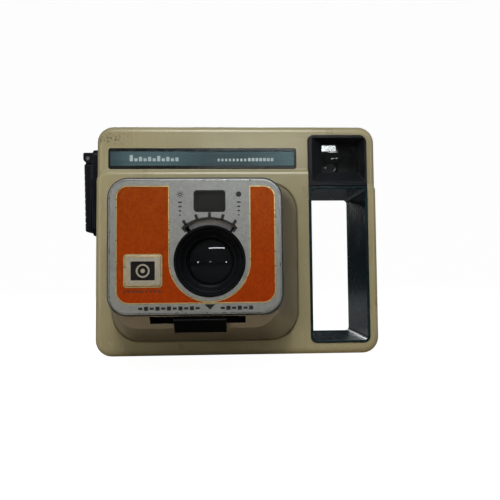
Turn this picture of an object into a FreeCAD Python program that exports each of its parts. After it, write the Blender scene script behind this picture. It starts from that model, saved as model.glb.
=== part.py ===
import FreeCAD, Part
import math
import os

# Instant camera with a crank, a grip window and a tapered lens housing.
# Millimetres. X runs to the right as the front is seen, Y from the front to the back, Z up.
# The origin is the middle of the flat base of the body.

V = FreeCAD.Vector

# ---- body shells ----
body_width = 180.0
body_height = 147.2
body_depth = 50.0
body_corner = 10.5           # radius of the outline's corners
wall = 2.4
front_edge = 4.5             # rounding of the front edges
rear_edge = 3.0
front_shell_depth = 31.0     # the tan shell's share of the depth
raised_step = 2.2            # how far the lower front stands forward of the upper front
step_height = 117.0          # middle of the step on the left of the viewfinder
bar_step_height = 107.0      # the same step on the grip bar
step_run = 2.0
step_corner = 8.0
bar_step_corner = 4.0
step_foot = 1.6              # hollow rounding at the foot of the step
parting_chamfer = 0.5
fit_gap = 0.15               # gap between two moulded pieces that meet
lip_length = 2.5
lip_thickness = 1.2

# ---- lens housing ----
lens_x = -14.6
lens_z = 58.0
housing_reach = 70.0         # face plate's front, ahead of the body
housing_base = (-78.4, 37.7, 9.8, 109.0)     # left, right, bottom, top where it leaves the body
housing_front = (-63.9, 21.0, 26.1, 98.7)    # the same at the face plate
housing_base_corner = 18.0
facet_top = 31.4             # height where the planed lower facet meets the face plate
housing_front_corner = 10.0
housing_lower_corner = 15.0
facet_depth = 7.5            # face plate to the facet's rear edge
housing_wall = 1.8
flange_width = 3.0
flange_thickness = 1.6
carrier_thickness = 1.4
carrier_overhang = 0.7
plate = (-63.6, 20.6, 32.3, 98.3)            # left, right, bottom, top of the face plate
plate_corner = 9.5
plate_thickness = 1.1
inlay_recess = 0.5

# ---- lens and exposure control ----
cup_radius = 17.4
cup_depth = 7.6
cup_proud = 0.6
ring_border = 19.3           # radius of the bare metal round the lens cup
glass_radius = 12.4
glass_edge = 1.6             # thickness of the front glass at its rim
glass_bulge = 2.0
scale_outer = 20.4
scale_half_angle = 38.0
sector_from = -31.6
sector_to = 33.8
ring_outer = 22.5
ring_thickness = 1.6
ring_behind_plate = 5.2      # plate front to the ring's front
running_gap = 0.3
notch = (-28.0, -1.0)        # gap in the strip above the slider's slot
drive_radius = 22.5          # from the lens axis to the slider's pin
drive_pin_radius = 1.0
drive_slot_half = 1.7
cup_flange = 20.8            # the cup's shoulder that the ring turns against
slider_centre_x = -19.5
slider_width = 25.6
slider_bar_half = 20.5       # half the bar that rides behind the housing's wall
slider_left_travel = 11.5
slider_right_travel = 9.0
slot_height = 3.7

# ---- meter window and badge ----
meter_window = (-22.2, -6.9, 82.0, 92.5)
meter_corner = 1.6
badge = (-55.4, -38.2, 46.1, 60.9)
badge_proud = 0.4            # the frame stands this far ahead of the plate
badge_rim = 2.8              # width of the frame round its field

# ---- shutter ----
shutter_behind_plate = 11.0
shutter_plate_thickness = 1.5
blade_thickness = 0.5
aperture_radius = 5.0
blade_pivot_offset = 17.0

# ---- film ----
image_width = 91.0
image_height = 67.0
film_plane = 8.5             # Y of the film as it rises through the rollers
chamber = (-70.0, 40.5, 4.0, 118.5)
chamber_wall = 1.5
chamber_front = 5.0          # Y of the chamber's front face

# ---- rollers and gears ----
roller_radius = 5.0
roller_length = 100.0
roller_gap = 0.4
roller_height = 126.0
journal_radius = 2.5
shaft_play = 0.05
gear_module = 1.0
crank_teeth = 36
idler_teeth = 20
pinion_teeth = 12
coupling_teeth = 13
pressure_angle = math.radians(25.0)
addendum = 0.9
dedendum = 1.2
backlash = 0.16
gear_width = 5.0
gear_left = -84.0            # X of the left face of the gears
gear_plate_left = -77.5
gear_plate_thickness = 1.5
idler_pin_radius = 2.0

# ---- crank ----
crank_y = -1.5
crank_z = 84.0
crank_reach = 45.5           # crank axis to the grip's hinge
shaft_radius = 3.0
bush_radius = 4.6
escutcheon_radius = 9.5
escutcheon_thickness = 1.6
arm_gap = 0.4
arm_thickness = 4.8
arm_end_radius = 6.5
grip_gap = 0.4
grip_thickness = 5.2
grip_tip_thickness = 4.0
grip_length = 46.0
grip_shoulder = 3.5          # hinge axis to the grip's shoulder
grip_width = 12.0
cheek_width = 2.0
cheek_radius = 3.0
hinge_offset = 3.0           # arm's outer face to the grip's hinge axis
grip_pin_radius = 1.2

# ---- grip window and viewfinder ----
window_left = 45.8
window_right = 83.8
window_bottom = 7.2
window_split = 107.0         # where the viewfinder bezel meets the grip liner
window_top = 140.6
liner_wall = 1.6
liner_corner = 4.0
liner_proud = 0.6
bezel_proud = 0.5
finder_pane = (55.6, 79.6, 117.4, 135.6)
finder_pane_depth = 6.0
eyepiece = (58.3, 75.3, 118.4, 132.4)
eyepiece_radius = 5.6

# ---- name strip ----
strip = (-82.1, 38.2, 118.9, 132.3)
strip_label_margin = (1.1, 1.5, 2.1, 1.8)    # left, right, bottom, top
strip_pocket = 1.2
strip_proud = 0.4

# ---- flash socket and print exit ----
socket = (-29.0, -0.4, -18.4, -7.6)
socket_depth = 12.0
socket_slot = (24.0, 5.0, 9.0)
exit_width = 103.0
exit_gap = 2.8

# ---- battery ----
battery_size = (48.0, 36.0, 9.0)
cover_front_half = 30.6
cover_rear_half = 31.2
cover_centre_x = -19.3
cover_front = -87.1
cover_hinge_y = -31.5
cover_hinge_inset = 1.25
cover_barrel = 1.2
cover_pin = 0.6

# ---- film door ----
door = (-71.8, 42.4, 4.2, 120.8)
door_corner = 4.0
door_thickness = 2.8
door_gap = 0.5
door_axis_x = 43.7
knuckle_radius = 1.9
knuckle_relief = 0.25
door_pin_radius = 0.8
knuckle_ends = (12.0, 30.0, 52.0, 74.0, 96.0, 114.0)
latch_height = 62.0
latch_travel = 3.0

# ---- shutter trigger ----
trigger_bottom = 71.0
trigger_top = 97.0
trigger_front = 1.0
trigger_back = 12.0
trigger_proud = 3.0

# ---- counter ----
counter_x = -79.4
counter_z = 30.0
counter_radius = 6.4
counter_stud = 1.0

# ---- screws ----
screw_places = ((-81.0, 137.0, 3.2), (-81.0, 9.0, 3.2), (42.4, 139.2, 2.6), (64.8, 4.85, 2.2))
screw_radius = 1.0
screw_head = 1.9

# ---- worked out from the values above ----
front_y = -body_depth / 2
rear_y = body_depth / 2
upper_y = front_y + raised_step
parting_y = front_y + front_shell_depth
plate_y = front_y - housing_reach
carrier_y = plate_y + plate_thickness
housing_y = carrier_y + carrier_thickness
knee_y = plate_y + facet_depth
ring_y = plate_y + ring_behind_plate
shutter_y = plate_y + shutter_behind_plate
cup_back = plate_y + cup_depth
front_roller_y = film_plane - roller_radius - roller_gap / 2
rear_roller_y = film_plane + roller_radius + roller_gap / 2
coupling_module = round((rear_roller_y - front_roller_y) / coupling_teeth, 6)
roller_left = lens_x - roller_length / 2
roller_right = lens_x + roller_length / 2
side_inner = -body_width / 2 + wall
escutcheon_x = -body_width / 2 - escutcheon_thickness
arm_x = escutcheon_x - arm_gap
arm_outer_x = arm_x - arm_thickness
hinge_x = arm_outer_x - hinge_offset
hinge_z = crank_z + crank_reach
grip_front = crank_y - grip_width / 2
grip_back = crank_y + grip_width / 2


# ---- outline and solid helpers ----
def grow(sides, by):
    left, right, bottom, top = sides
    return (left - by, right + by, bottom - by, top + by)


def rect(sides, radius=0.0):
    """Corner list of a rectangle (left, right, bottom, top), every corner rounded alike."""
    left, right, bottom, top = sides
    return [(left, bottom, radius), (right, bottom, radius), (right, top, radius), (left, top, radius)]


def rounded_wire(corners, place):
    """Closed wire through (u, v, radius) corners, each rounded by an arc; place maps u, v to space."""
    starts, mids, ends = [], [], []
    count = len(corners)
    for i, (u, v, radius) in enumerate(corners):
        here = V(u, v, 0)
        before = V(*corners[i - 1][:2], 0) - here
        after = V(*corners[(i + 1) % count][:2], 0) - here
        before.normalize()
        after.normalize()
        half = before.getAngle(after) / 2
        setback = radius / math.tan(half) if radius else 0.0
        toward = before + after
        if radius:
            toward.normalize()
        centre = here + toward * (radius / math.sin(half) if radius else 0.0)
        starts.append(here + before * setback)
        mids.append(centre - toward * radius)
        ends.append(here + after * setback)
    edges = []
    for i in range(count):
        if corners[i][2]:
            points = [place(p.x, p.y) for p in (starts[i], mids[i], ends[i])]
            edges.append(Part.Arc(*points).toShape())
        a, b = ends[i], starts[(i + 1) % count]
        if (b - a).Length > 1e-6:
            edges.append(Part.LineSegment(place(a.x, a.y), place(b.x, b.y)).toShape())
    return Part.Wire(edges)


def prism_x(corners, x0, x1):
    """Solid from an outline in Y, Z between two X."""
    return Part.Face(rounded_wire(corners, lambda u, v: V(x0, u, v))).extrude(V(x1 - x0, 0, 0))


def prism_y(corners, y0, y1):
    """Solid from an outline in X, Z between two Y."""
    return Part.Face(rounded_wire(corners, lambda u, v: V(u, y0, v))).extrude(V(0, y1 - y0, 0))


def prism_z(corners, z0, z1):
    """Solid from an outline in X, Y between two Z."""
    return Part.Face(rounded_wire(corners, lambda u, v: V(u, v, z0))).extrude(V(0, 0, z1 - z0))


def box(x0, x1, y0, y1, z0, z1):
    return Part.makeBox(x1 - x0, y1 - y0, z1 - z0, V(x0, y0, z0))


def loft_y(front_corners, y0, back_corners, y1):
    wires = [
        rounded_wire(front_corners, lambda u, v: V(u, y0, v)),
        rounded_wire(back_corners, lambda u, v: V(u, y1, v)),
    ]
    return Part.makeLoft(wires, True, True)


def rod_x(radius, x0, x1, y, z):
    return Part.makeCylinder(radius, x1 - x0, V(x0, y, z), V(1, 0, 0))


def rod_y(radius, y0, y1, x, z):
    return Part.makeCylinder(radius, y1 - y0, V(x, y0, z), V(0, 1, 0))


def rod_z(radius, z0, z1, x, y):
    return Part.makeCylinder(radius, z1 - z0, V(x, y, z0), V(0, 0, 1))


def turned(profile, x, z):
    """Solid of revolution about an axis along Y through x, z; profile is (radius, y) corners."""
    points = [V(x + r, y, z) for r, y in profile]
    face = Part.Face(Part.makePolygon(points + points[:1]))
    return face.revolve(V(x, 0, z), V(0, 1, 0), 360)


def bulged_disc(radius, y_front, y_back, front_bulge, back_bulge, x, z):
    """Lens: a disc whose faces swell forward and backward by the given heights."""
    rim_front, rim_back = V(x + radius, y_front, z), V(x + radius, y_back, z)
    front_pole, back_pole = V(x, y_front - front_bulge, z), V(x, y_back + back_bulge, z)

    def cap(rim, pole, bulge):
        if not bulge:
            return Part.LineSegment(pole, rim).toShape()
        big = (radius * radius + bulge * bulge) / (2 * bulge)
        centre_y = pole.y + (big if rim.y > pole.y else -big)
        half_angle = math.asin(radius / abs(big)) / 2
        side = -1 if rim.y > pole.y else 1
        middle = V(x + big * math.sin(half_angle), centre_y + side * big * math.cos(half_angle), z)
        return Part.Arc(pole, middle, rim).toShape()

    edges = [
        cap(rim_front, front_pole, front_bulge),
        Part.LineSegment(rim_front, rim_back).toShape(),
        cap(rim_back, back_pole, back_bulge),
        Part.LineSegment(back_pole, front_pole).toShape(),
    ]
    face = Part.Face(Part.Wire(Part.__sortEdges__(edges)))
    return face.revolve(V(x, 0, z), V(0, 1, 0), 360)


def ring_sector(inner, outer, from_angle, to_angle, y0, y1):
    """Piece of a ring round the lens axis; angles in degrees from straight up, clockwise from the front."""
    def at(radius, angle):
        turn = math.radians(angle)
        return V(lens_x + radius * math.sin(turn), y0, lens_z + radius * math.cos(turn))

    middle = (from_angle + to_angle) / 2
    edges = [
        Part.Arc(at(outer, from_angle), at(outer, middle), at(outer, to_angle)).toShape(),
        Part.LineSegment(at(outer, to_angle), at(inner, to_angle)).toShape(),
        Part.Arc(at(inner, to_angle), at(inner, middle), at(inner, from_angle)).toShape(),
        Part.LineSegment(at(inner, from_angle), at(outer, from_angle)).toShape(),
    ]
    return Part.Face(Part.Wire(edges)).extrude(V(0, y1 - y0, 0))


def edges_at_y(shape, y, inside=None):
    """Edges that lie in the plane of that Y, and within the inside box (left, right, bottom, top)."""
    found = []
    for edge in shape.Edges:
        b = edge.BoundBox
        flat = abs(b.YMin - y) < 1e-4 and abs(b.YMax - y) < 1e-4
        if not flat:
            continue
        if inside:
            left, right, bottom, top = inside
            if b.XMin < left or b.XMax > right or b.ZMin < bottom or b.ZMax > top:
                continue
        found.append(edge)
    return found


def joined(*shapes):
    return shapes[0].multiFuse(list(shapes[1:])).removeSplitter()


# ---- outlines that several pieces share ----
outline = (-body_width / 2, body_width / 2, 0.0, body_height)


def window_outline(by=0.0):
    """The black area of the front: grip liner below, viewfinder bezel above."""
    left, right, bottom, top = grow((window_left, window_right, window_bottom, window_top), by)
    return [
        (left, bottom, liner_corner),
        (right, bottom, liner_corner),
        (right, top, liner_corner + 1.0),
        (left, top, liner_corner - 0.5),
    ]


def housing_section(sides, upper, lower, by):
    left, right, bottom, top = grow(sides, by)
    return [(left, bottom, lower + by), (right, bottom, lower + by),
            (right, top, upper + by), (left, top, upper + by)]


def housing_solid(by):
    """Outer or inner volume of the lens housing, grown by a distance."""
    base = housing_section(housing_base, housing_base_corner, housing_base_corner, by)
    front = housing_section(housing_front, housing_front_corner, housing_lower_corner, by)
    body = loft_y(front, housing_y, base, front_y)
    run, rise = knee_y - housing_y, facet_top - housing_floor_z(knee_y)
    y0, y1 = housing_y - 2 * run, knee_y + run
    z0, z1 = facet_top + 2 * rise - by, housing_floor_z(knee_y) - rise - by
    below = prism_x([(y0, z0, 0), (y1, z1, 0), (y1, -60, 0), (y0, -60, 0)], -body_width, body_width)
    return body.cut(below)


def cover_outline(by=0.0):
    """Battery cover seen from below, as X, Y corners."""
    front, rear = cover_front_half + by, cover_rear_half + by
    return [
        (cover_centre_x - front, cover_front - by, 1.0),
        (cover_centre_x + front, cover_front - by, 1.0),
        (cover_centre_x + rear, cover_hinge_y - cover_barrel / 2 + by, 0.0),
        (cover_centre_x - rear, cover_hinge_y - cover_barrel / 2 + by, 0.0),
    ]


def housing_floor_z(y):
    """Height of the lens housing's lower outer face at a depth."""
    share = (y - housing_y) / (front_y - housing_y)
    return housing_front[2] + share * (housing_base[2] - housing_front[2])


def floor_slope():
    return math.atan2(housing_front[2] - housing_base[2], front_y - housing_y)


def inlay_outline(by=0.0):
    """The orange U: outer rectangle less the bare band over the lens."""
    left, right, bottom, top = grow((-60.0, 17.7, 37.3, 95.0), by)
    return left, right, bottom, top


# ---- body shells ----
def raised_front(x0, x1, top, left_corner, right_corner):
    """Part of the raised lower front between two X, its free edges rounded like the body's."""
    corners = [(x0, 0, body_corner if left_corner else 0), (x1, 0, body_corner if right_corner else 0),
               (x1, top, right_corner), (x0, top, left_corner)]
    raised = prism_y(corners, front_y, parting_y)
    inner_x = x1 if left_corner else x0
    free = [e for e in edges_at_y(raised, front_y) if abs(e.BoundBox.Center.x - inner_x) > 0.01]
    return raised.makeFillet(front_edge, free)


def body_front():
    """Outer volume of the front shell with its raised lower face."""
    level = prism_y(rect(outline, body_corner), upper_y, parting_y)
    level = level.makeFillet(front_edge, edges_at_y(level, upper_y))
    middle = (window_left + window_right) / 2
    half = body_width / 2
    left_part = raised_front(-half, middle, step_height + step_run, step_corner, 0)
    right_part = raised_front(middle, half, bar_step_height + step_run, 0, bar_step_corner)
    body = level.multiFuse([left_part, right_part]).removeSplitter()
    level_edges = [e for e in edges_at_y(body, upper_y) if e.BoundBox.ZLength < 1.0]
    foot = [e for e in level_edges if e.BoundBox.ZMax < step_height + 3]
    return body.makeFillet(step_foot, foot)


def front_shell():
    shell = body_front()
    inner = grow(outline, -wall)
    hollow = prism_y(rect(inner, body_corner - wall), upper_y + wall, parting_y + 1)
    shell = shell.cut(hollow)
    middle = (window_left + window_right) / 2
    for left, right, top in ((inner[0], middle, step_height - 4), (middle, inner[1], bar_step_height - 4)):
        shell = shell.cut(box(left, right, front_y + wall, upper_y + wall + 1, inner[2] + 4, top))
    for x, z, r in screw_places:
        face = upper_y if z > step_height else front_y
        shell = shell.fuse(rod_y(r, face + wall - 1, parting_y, x, z))
    opening = prism_y(rect(grow(housing_base, 0.3), housing_base_corner + 0.3), front_y - 1, parting_y - 20)
    shell = shell.cut(opening)
    rim = edges_at_y(shell, front_y, grow(housing_base, 2.0))
    shell = shell.makeFillet(1.2, rim)
    shell = shell.cut(prism_y(window_outline(fit_gap), front_y - 1, parting_y + 1))
    shell = shell.cut(prism_y(rect(grow(strip, fit_gap), 1.6), front_y - 1, upper_y + strip_pocket))
    shell = shell.cut(prism_z(rect(grow(socket, fit_gap), 1.2), body_height - 10, body_height + 1))
    shell = shell.cut(rod_x(bush_radius, -body_width, side_inner + 1, crank_y, crank_z))
    for x, z, r in screw_places:
        shell = shell.cut(rod_y(screw_radius, parting_y - 14, parting_y + 1, x, z))
    return shell


def rear_shell():
    shell = prism_y(rect(outline, body_corner), parting_y, rear_y)
    shell = shell.makeFillet(rear_edge, edges_at_y(shell, rear_y))
    shell = shell.makeChamfer(parting_chamfer, edges_at_y(shell, parting_y))
    inner = grow(outline, -wall)
    shell = shell.cut(prism_y(rect(inner, body_corner - wall), parting_y - 1, rear_y - wall))
    lip_outer = grow(inner, -0.1)
    lip_inner = grow(lip_outer, -lip_thickness)
    lip = prism_y(rect(lip_outer, body_corner - wall), parting_y - lip_length, parting_y + 2)
    lip = lip.cut(prism_y(rect(lip_inner, body_corner - wall - 1), parting_y - 9, parting_y + 9))
    bridge = prism_y(rect(grow(inner, 0.4), body_corner - wall), parting_y + 1, parting_y + 2)
    bridge = bridge.cut(prism_y(rect(lip_inner, body_corner - wall - 1), parting_y - 9, parting_y + 9))
    shell = joined(shell, lip, bridge)
    for x, z, r in screw_places:
        shell = shell.cut(rod_y(r + 0.2, parting_y - 9, parting_y, x, z))
        shell = shell.fuse(rod_y(r, parting_y, rear_y - wall + 0.5, x, z))
    shell = shell.cut(prism_y(window_outline(fit_gap), parting_y - 9, rear_y + 9))
    shell = shell.cut(prism_y(rect(grow(door, door_gap), door_corner + door_gap), rear_y - 6, rear_y + 1))
    shell = shell.fuse(finder_bulkhead())
    shell = shell.cut(prism_y(rect(grow(eyepiece, fit_gap), 2.0), rear_y - 9, rear_y + 1))
    exit_left = lens_x - exit_width / 2
    shell = shell.cut(box(exit_left, exit_left + exit_width, parting_y - 9, film_plane + exit_gap / 2,
                          body_height - 9, body_height + 1))
    shell = shell.cut(prism_y(counter_window_outline(fit_gap), rear_y - 9, rear_y + 1))
    for x, z, r in screw_places:
        shell = shell.cut(rod_y(screw_radius + 0.2, parting_y - 9, rear_y + 1, x, z))
        shell = shell.cut(rod_y(screw_head + 0.2, rear_y - 4.2, rear_y + 1, x, z))
    notch_left = door[0] - door_gap - 2.4
    shell = shell.cut(box(notch_left, door[0], rear_y - 6, rear_y + 1,
                          latch_height - 5, latch_height + latch_travel + 5))
    shell = shell.fuse(rod_y(counter_stud, rear_y - wall - 3.0, rear_y - wall + 0.5, counter_x, counter_z))
    for low, high in knuckle_spans(1):
        relief = rod_z(knuckle_radius + knuckle_relief, low - 0.15, high + 0.15, door_axis_x, rear_y)
        shell = shell.cut(relief)
    for low, high in knuckle_spans(0):
        shell = shell.fuse(rod_z(knuckle_radius, low, high, door_axis_x, rear_y))
    shell = shell.cut(rod_z(door_pin_radius, knuckle_ends[0] - 1, knuckle_ends[-1] + 1, door_axis_x, rear_y))
    return shell


def finder_bulkhead():
    """Back of the viewfinder bay, which closes the black window above the grip."""
    bay = (window_left - 1.5, window_right + 1.5, window_split + 0.2, window_top + 1.5)
    return prism_y(rect(bay, 1.0), rear_y - wall, rear_y)


def knuckle_spans(kind):
    """Heights of the hinge knuckles: kind 0 is the housing's, kind 1 the door's."""
    spans = list(zip(knuckle_ends[:-1], knuckle_ends[1:]))
    return [(low + 0.15, high - 0.15) for i, (low, high) in enumerate(spans) if i % 2 == kind]


def counter_window_outline(by=0.0):
    middle_z = counter_z + 3.4
    return rect(grow((counter_x - 3.0, counter_x + 3.0, middle_z - 2.4, middle_z + 2.4), by), 1.0)


def counter_window():
    pane = prism_y(counter_window_outline(), rear_y - wall, rear_y - 0.4)
    return pane


def name_strip_frame():
    frame = prism_y(rect(strip, 1.5), upper_y - strip_proud, upper_y + strip_pocket - 0.05)
    frame = frame.makeFillet(0.35, edges_at_y(frame, upper_y - strip_proud))
    return frame.cut(prism_y(rect(label_sides(), 0.6), upper_y - 2, upper_y + 0.3))


def label_sides():
    left, right, bottom, top = strip
    m = strip_label_margin
    return (left + m[0], right - m[1], bottom + m[2], top - m[3])


def name_strip_label():
    return prism_y(rect(grow(label_sides(), -0.08), 0.5), upper_y, upper_y + 0.3)


def housing_screws():
    screws = []
    for x, z, r in screw_places:
        shank = rod_y(screw_radius, parting_y - 12, rear_y - 4.2, x, z)
        head = rod_y(screw_head, rear_y - 4.2, rear_y - 2.6, x, z)
        head = head.cut(box(x - 1.4, x + 1.4, rear_y - 3.3, rear_y, z - 0.25, z + 0.25))
        head = head.cut(box(x - 0.25, x + 0.25, rear_y - 3.3, rear_y, z - 1.4, z + 1.4))
        screws.append(shank.fuse(head))
    return Part.makeCompound(screws)


# ---- lens housing ----
def lens_housing():
    shell = housing_solid(0).cut(inner_housing())
    base = rect(housing_base, housing_base_corner)
    collar = prism_y(base, front_y, front_y + wall + 0.1)
    flange = prism_y(rect(grow(housing_base, flange_width), housing_base_corner + flange_width),
                     front_y + wall + 0.1, front_y + wall + 0.1 + flange_thickness)
    bore = prism_y(rect(grow(housing_base, -housing_wall), housing_base_corner - housing_wall),
                   front_y - 0.5, front_y + 9)
    shell = joined(shell, collar.fuse(flange).cut(bore))
    shell = shell.cut(cover_hole())
    slot_z = facet_top - 0.3
    slot_left = slider_centre_x - slider_width / 2 - slider_left_travel - 0.4
    slot_right = slider_centre_x + slider_width / 2 + slider_right_travel + 0.4
    shell = shell.cut(box(slot_left, slot_right, housing_y - 1, knee_y + 4, slot_z - slot_height, slot_z))
    shell = shell.cut(box(*notch, housing_y - 1, housing_y + 1.2, slot_z - 1, slot_z + 2))
    reach = cover_rear_half + 1.6
    return shell.cut(rod_x(cover_pin + shaft_play, cover_centre_x - reach, cover_centre_x + reach,
                           cover_hinge_y, cover_hinge_z()))


def inner_housing():
    inside = housing_solid(-housing_wall)
    left, right, bottom, top = grow(housing_front, -housing_wall)
    mouth = (left, right, facet_top + housing_wall, top)
    front = housing_section(mouth, housing_front_corner - housing_wall, 6.0, 0)
    back = rect(grow(housing_base, -housing_wall), housing_base_corner - housing_wall)
    return inside.multiFuse([prism_y(front, housing_y - 1, housing_y), prism_y(back, front_y, front_y + 1)])


def cover_hole():
    """Opening in the lower face for the battery cover and its hinge barrel."""
    corners = [(x, y, 0.0) for x, y, r in cover_outline(fit_gap)]
    rear = cover_hinge_y + cover_barrel + 0.4
    corners[2] = (corners[2][0], rear, 0.0)
    corners[3] = (corners[3][0], rear, 0.0)
    return prism_z(corners, 2.0, housing_front[2] + 4.0)


def cover_hinge_z():
    return housing_floor_z(cover_hinge_y) + cover_hinge_inset


def battery_cover():
    skin = housing_solid(0).cut(inner_housing())
    panel = skin.common(prism_z(cover_outline(), 2.0, housing_front[2] + 4.0))
    reach = cover_rear_half - 0.3
    low_z = cover_hinge_z()
    barrel = rod_x(cover_barrel, cover_centre_x - reach, cover_centre_x + reach, cover_hinge_y, low_z)
    reach = cover_rear_half + 1.3
    pegs = rod_x(cover_pin, cover_centre_x - reach, cover_centre_x + reach, cover_hinge_y, low_z)
    cover = joined(panel, barrel, pegs)
    groove_y = cover_front + 5.0
    groove = rod_x(1.2, cover_centre_x - 9, cover_centre_x + 9, groove_y, housing_floor_z(groove_y) - 0.7)
    return cover.cut(groove)


def tilted(shape, y, z):
    """Leans a level shape to lie along the sloping lower face, about a line along X."""
    return shape.rotate(V(0, y, z), V(1, 0, 0), -math.degrees(floor_slope()))


def battery_place():
    """Centre of the battery's lower face: (x, y, z), just above the cover."""
    y = (cover_front + cover_hinge_y) / 2
    return cover_centre_x, y, housing_floor_z(y) + housing_wall / math.cos(floor_slope()) + 0.8


def battery():
    x, y, z = battery_place()
    sx, sy, sz = battery_size
    cell = prism_z(rect((x - sx / 2, x + sx / 2, y - sy / 2, y + sy / 2), 3.0), z, z + sz)
    cell = cell.makeFillet(0.6, cell.Edges)
    return tilted(cell, y, z)


def battery_tray():
    x, y, z = battery_place()
    sx, sy, sz = battery_size
    gap, skin = 0.3, 1.2
    inner = (x - sx / 2 - gap, x + sx / 2 + gap, y - sy / 2 - gap, y + sy / 2 + gap)
    tray = prism_z(rect(grow(inner, skin), 3.0), z + 0.1, z + sz + 1.6)
    tray = tray.cut(prism_z(rect(inner, 3.2), z - 1, z + sz + 0.4))
    ear = cover_front_half + 2.2
    ears = box(x - ear, x + ear, y - 6, y + 6, z + 0.1, z + 1.5)
    feet = box(x - ear, x + ear, y - 6, y + 6, z - 0.7, z + 0.2)
    feet = feet.cut(box(x - ear + 3, x + ear - 3, y - 9, y + 9, z - 2, z + 2))
    tray = joined(tray, ears.cut(box(inner[0], inner[1], y - 9, y + 9, z - 1, z + sz)), feet)
    for side in (-1, 1):
        place = x + side * sx / 4
        tray = tray.cut(box(place - 2.6, place + 2.6, y - 4.1, y + 4.1, z + sz, z + sz + 3))
    return tilted(tray, y, z)


# ---- face plate and what it carries ----
def bare_band(by=0.0):
    """The bare metal between the two orange areas: a band over the lens that ends round it."""
    half = ring_border - by
    band = box(lens_x - half, lens_x + half, plate_y - 2, plate_y + inlay_recess + 1, lens_z, plate[3])
    return band.fuse(rod_y(half, plate_y - 2, plate_y + inlay_recess + 1, lens_x, lens_z))


def inlay_volume(by, y0, y1):
    left, right, bottom, top = inlay_outline(by)
    corners = [(left, bottom, 6.5), (right, bottom, 6.5), (right, top, 5.5), (left, top, 5.5)]
    return prism_y(corners, y0, y1).cut(bare_band(by))


def face_plate():
    body = prism_y(rect(plate, plate_corner), plate_y, carrier_y)
    body = body.makeFillet(0.45, edges_at_y(body, plate_y))
    body = body.cut(inlay_volume(0.0, plate_y - 1, plate_y + inlay_recess))
    body = body.cut(rod_y(cup_radius + fit_gap, plate_y - 1, carrier_y + 1, lens_x, lens_z))
    body = body.cut(prism_y(rect(grow(meter_window, fit_gap), meter_corner), plate_y - 1, carrier_y + 1))
    return body.cut(ring_sector(cup_radius - 1, scale_outer, -scale_half_angle, scale_half_angle,
                                plate_y - 1, carrier_y + 1))


def orange_inlay():
    left, right, bottom, top = badge
    inlay = inlay_volume(-0.1, plate_y + 0.15, plate_y + inlay_recess)
    return inlay.cut(prism_y(rect(grow(badge, 0.1), 1.0), plate_y - 1, plate_y + 1))


def plate_carrier():
    outer = grow(plate, carrier_overhang)
    body = prism_y(rect(outer, plate_corner + carrier_overhang), carrier_y, housing_y)
    body = body.cut(rod_y(cup_radius + fit_gap, carrier_y - 1, housing_y + 1, lens_x, lens_z))
    body = body.cut(prism_y(rect(grow(meter_window, fit_gap), meter_corner), carrier_y - 1, housing_y + 1))
    body = body.cut(ring_sector(cup_radius - 1, scale_outer, -scale_half_angle, scale_half_angle,
                                carrier_y - 1, housing_y + 1))
    return body


def badge_frame():
    body = prism_y(rect(badge, 1.0), plate_y - badge_proud, plate_y + inlay_recess)
    body = body.makeFillet(0.25, edges_at_y(body, plate_y - badge_proud))
    return body.cut(prism_y(rect(grow(badge, -badge_rim), 0.4), plate_y - 1, plate_y))


def meter_glass():
    pane = prism_y(rect(meter_window, meter_corner - 0.2), plate_y - 0.1, housing_y)
    return pane.cut(prism_y(rect(grow(meter_window, -1.0), 1.0), plate_y - 1, plate_y + 0.6))


# ---- exposure control ----
def lens_cup():
    """Stepped black funnel round the lens, with a flange behind the control ring."""
    front = plate_y - cup_proud
    profile = [
        (cup_radius, front + 0.3), (cup_radius - 0.3, front), (cup_radius - 0.9, front),
        (cup_radius - 1.3, front + 0.8), (cup_radius - 2.0, front + 2.6),
        (cup_radius - 2.5, front + 2.8), (cup_radius - 4.4, front + 6.2),
        (glass_radius - 0.4, front + 6.6), (glass_radius - 0.4, cup_back + 0.5),
        (glass_radius + 0.1, cup_back + 0.5), (glass_radius + 0.1, shutter_y),
        (cup_flange, shutter_y), (cup_flange, ring_y + ring_thickness + running_gap),
        (cup_radius, ring_y + ring_thickness + running_gap),
    ]
    return turned(profile, lens_x, lens_z)


def exposure_ring():
    ring = rod_y(ring_outer, ring_y, ring_y + ring_thickness, lens_x, lens_z)
    foot = drive_radius + 4.1
    tongue = box(lens_x - 4, lens_x + 4, ring_y, ring_y + ring_thickness, lens_z - foot, lens_z - 18)
    slot = box(lens_x - drive_slot_half, lens_x + drive_slot_half, ring_y - 1, ring_y + 9,
               lens_z - foot - 1, lens_z - drive_radius + drive_pin_radius + 0.4)
    ring = joined(ring, tongue).cut(slot)
    return ring.cut(rod_y(cup_radius + running_gap, ring_y - 1, ring_y + 9, lens_x, lens_z))


def exposure_sector():
    """Bright band on the ring that shows in the scale's window."""
    return ring_sector(cup_radius + running_gap + 0.1, ring_outer - 0.3, sector_from, sector_to,
                       housing_y + 0.4, ring_y)


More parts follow.
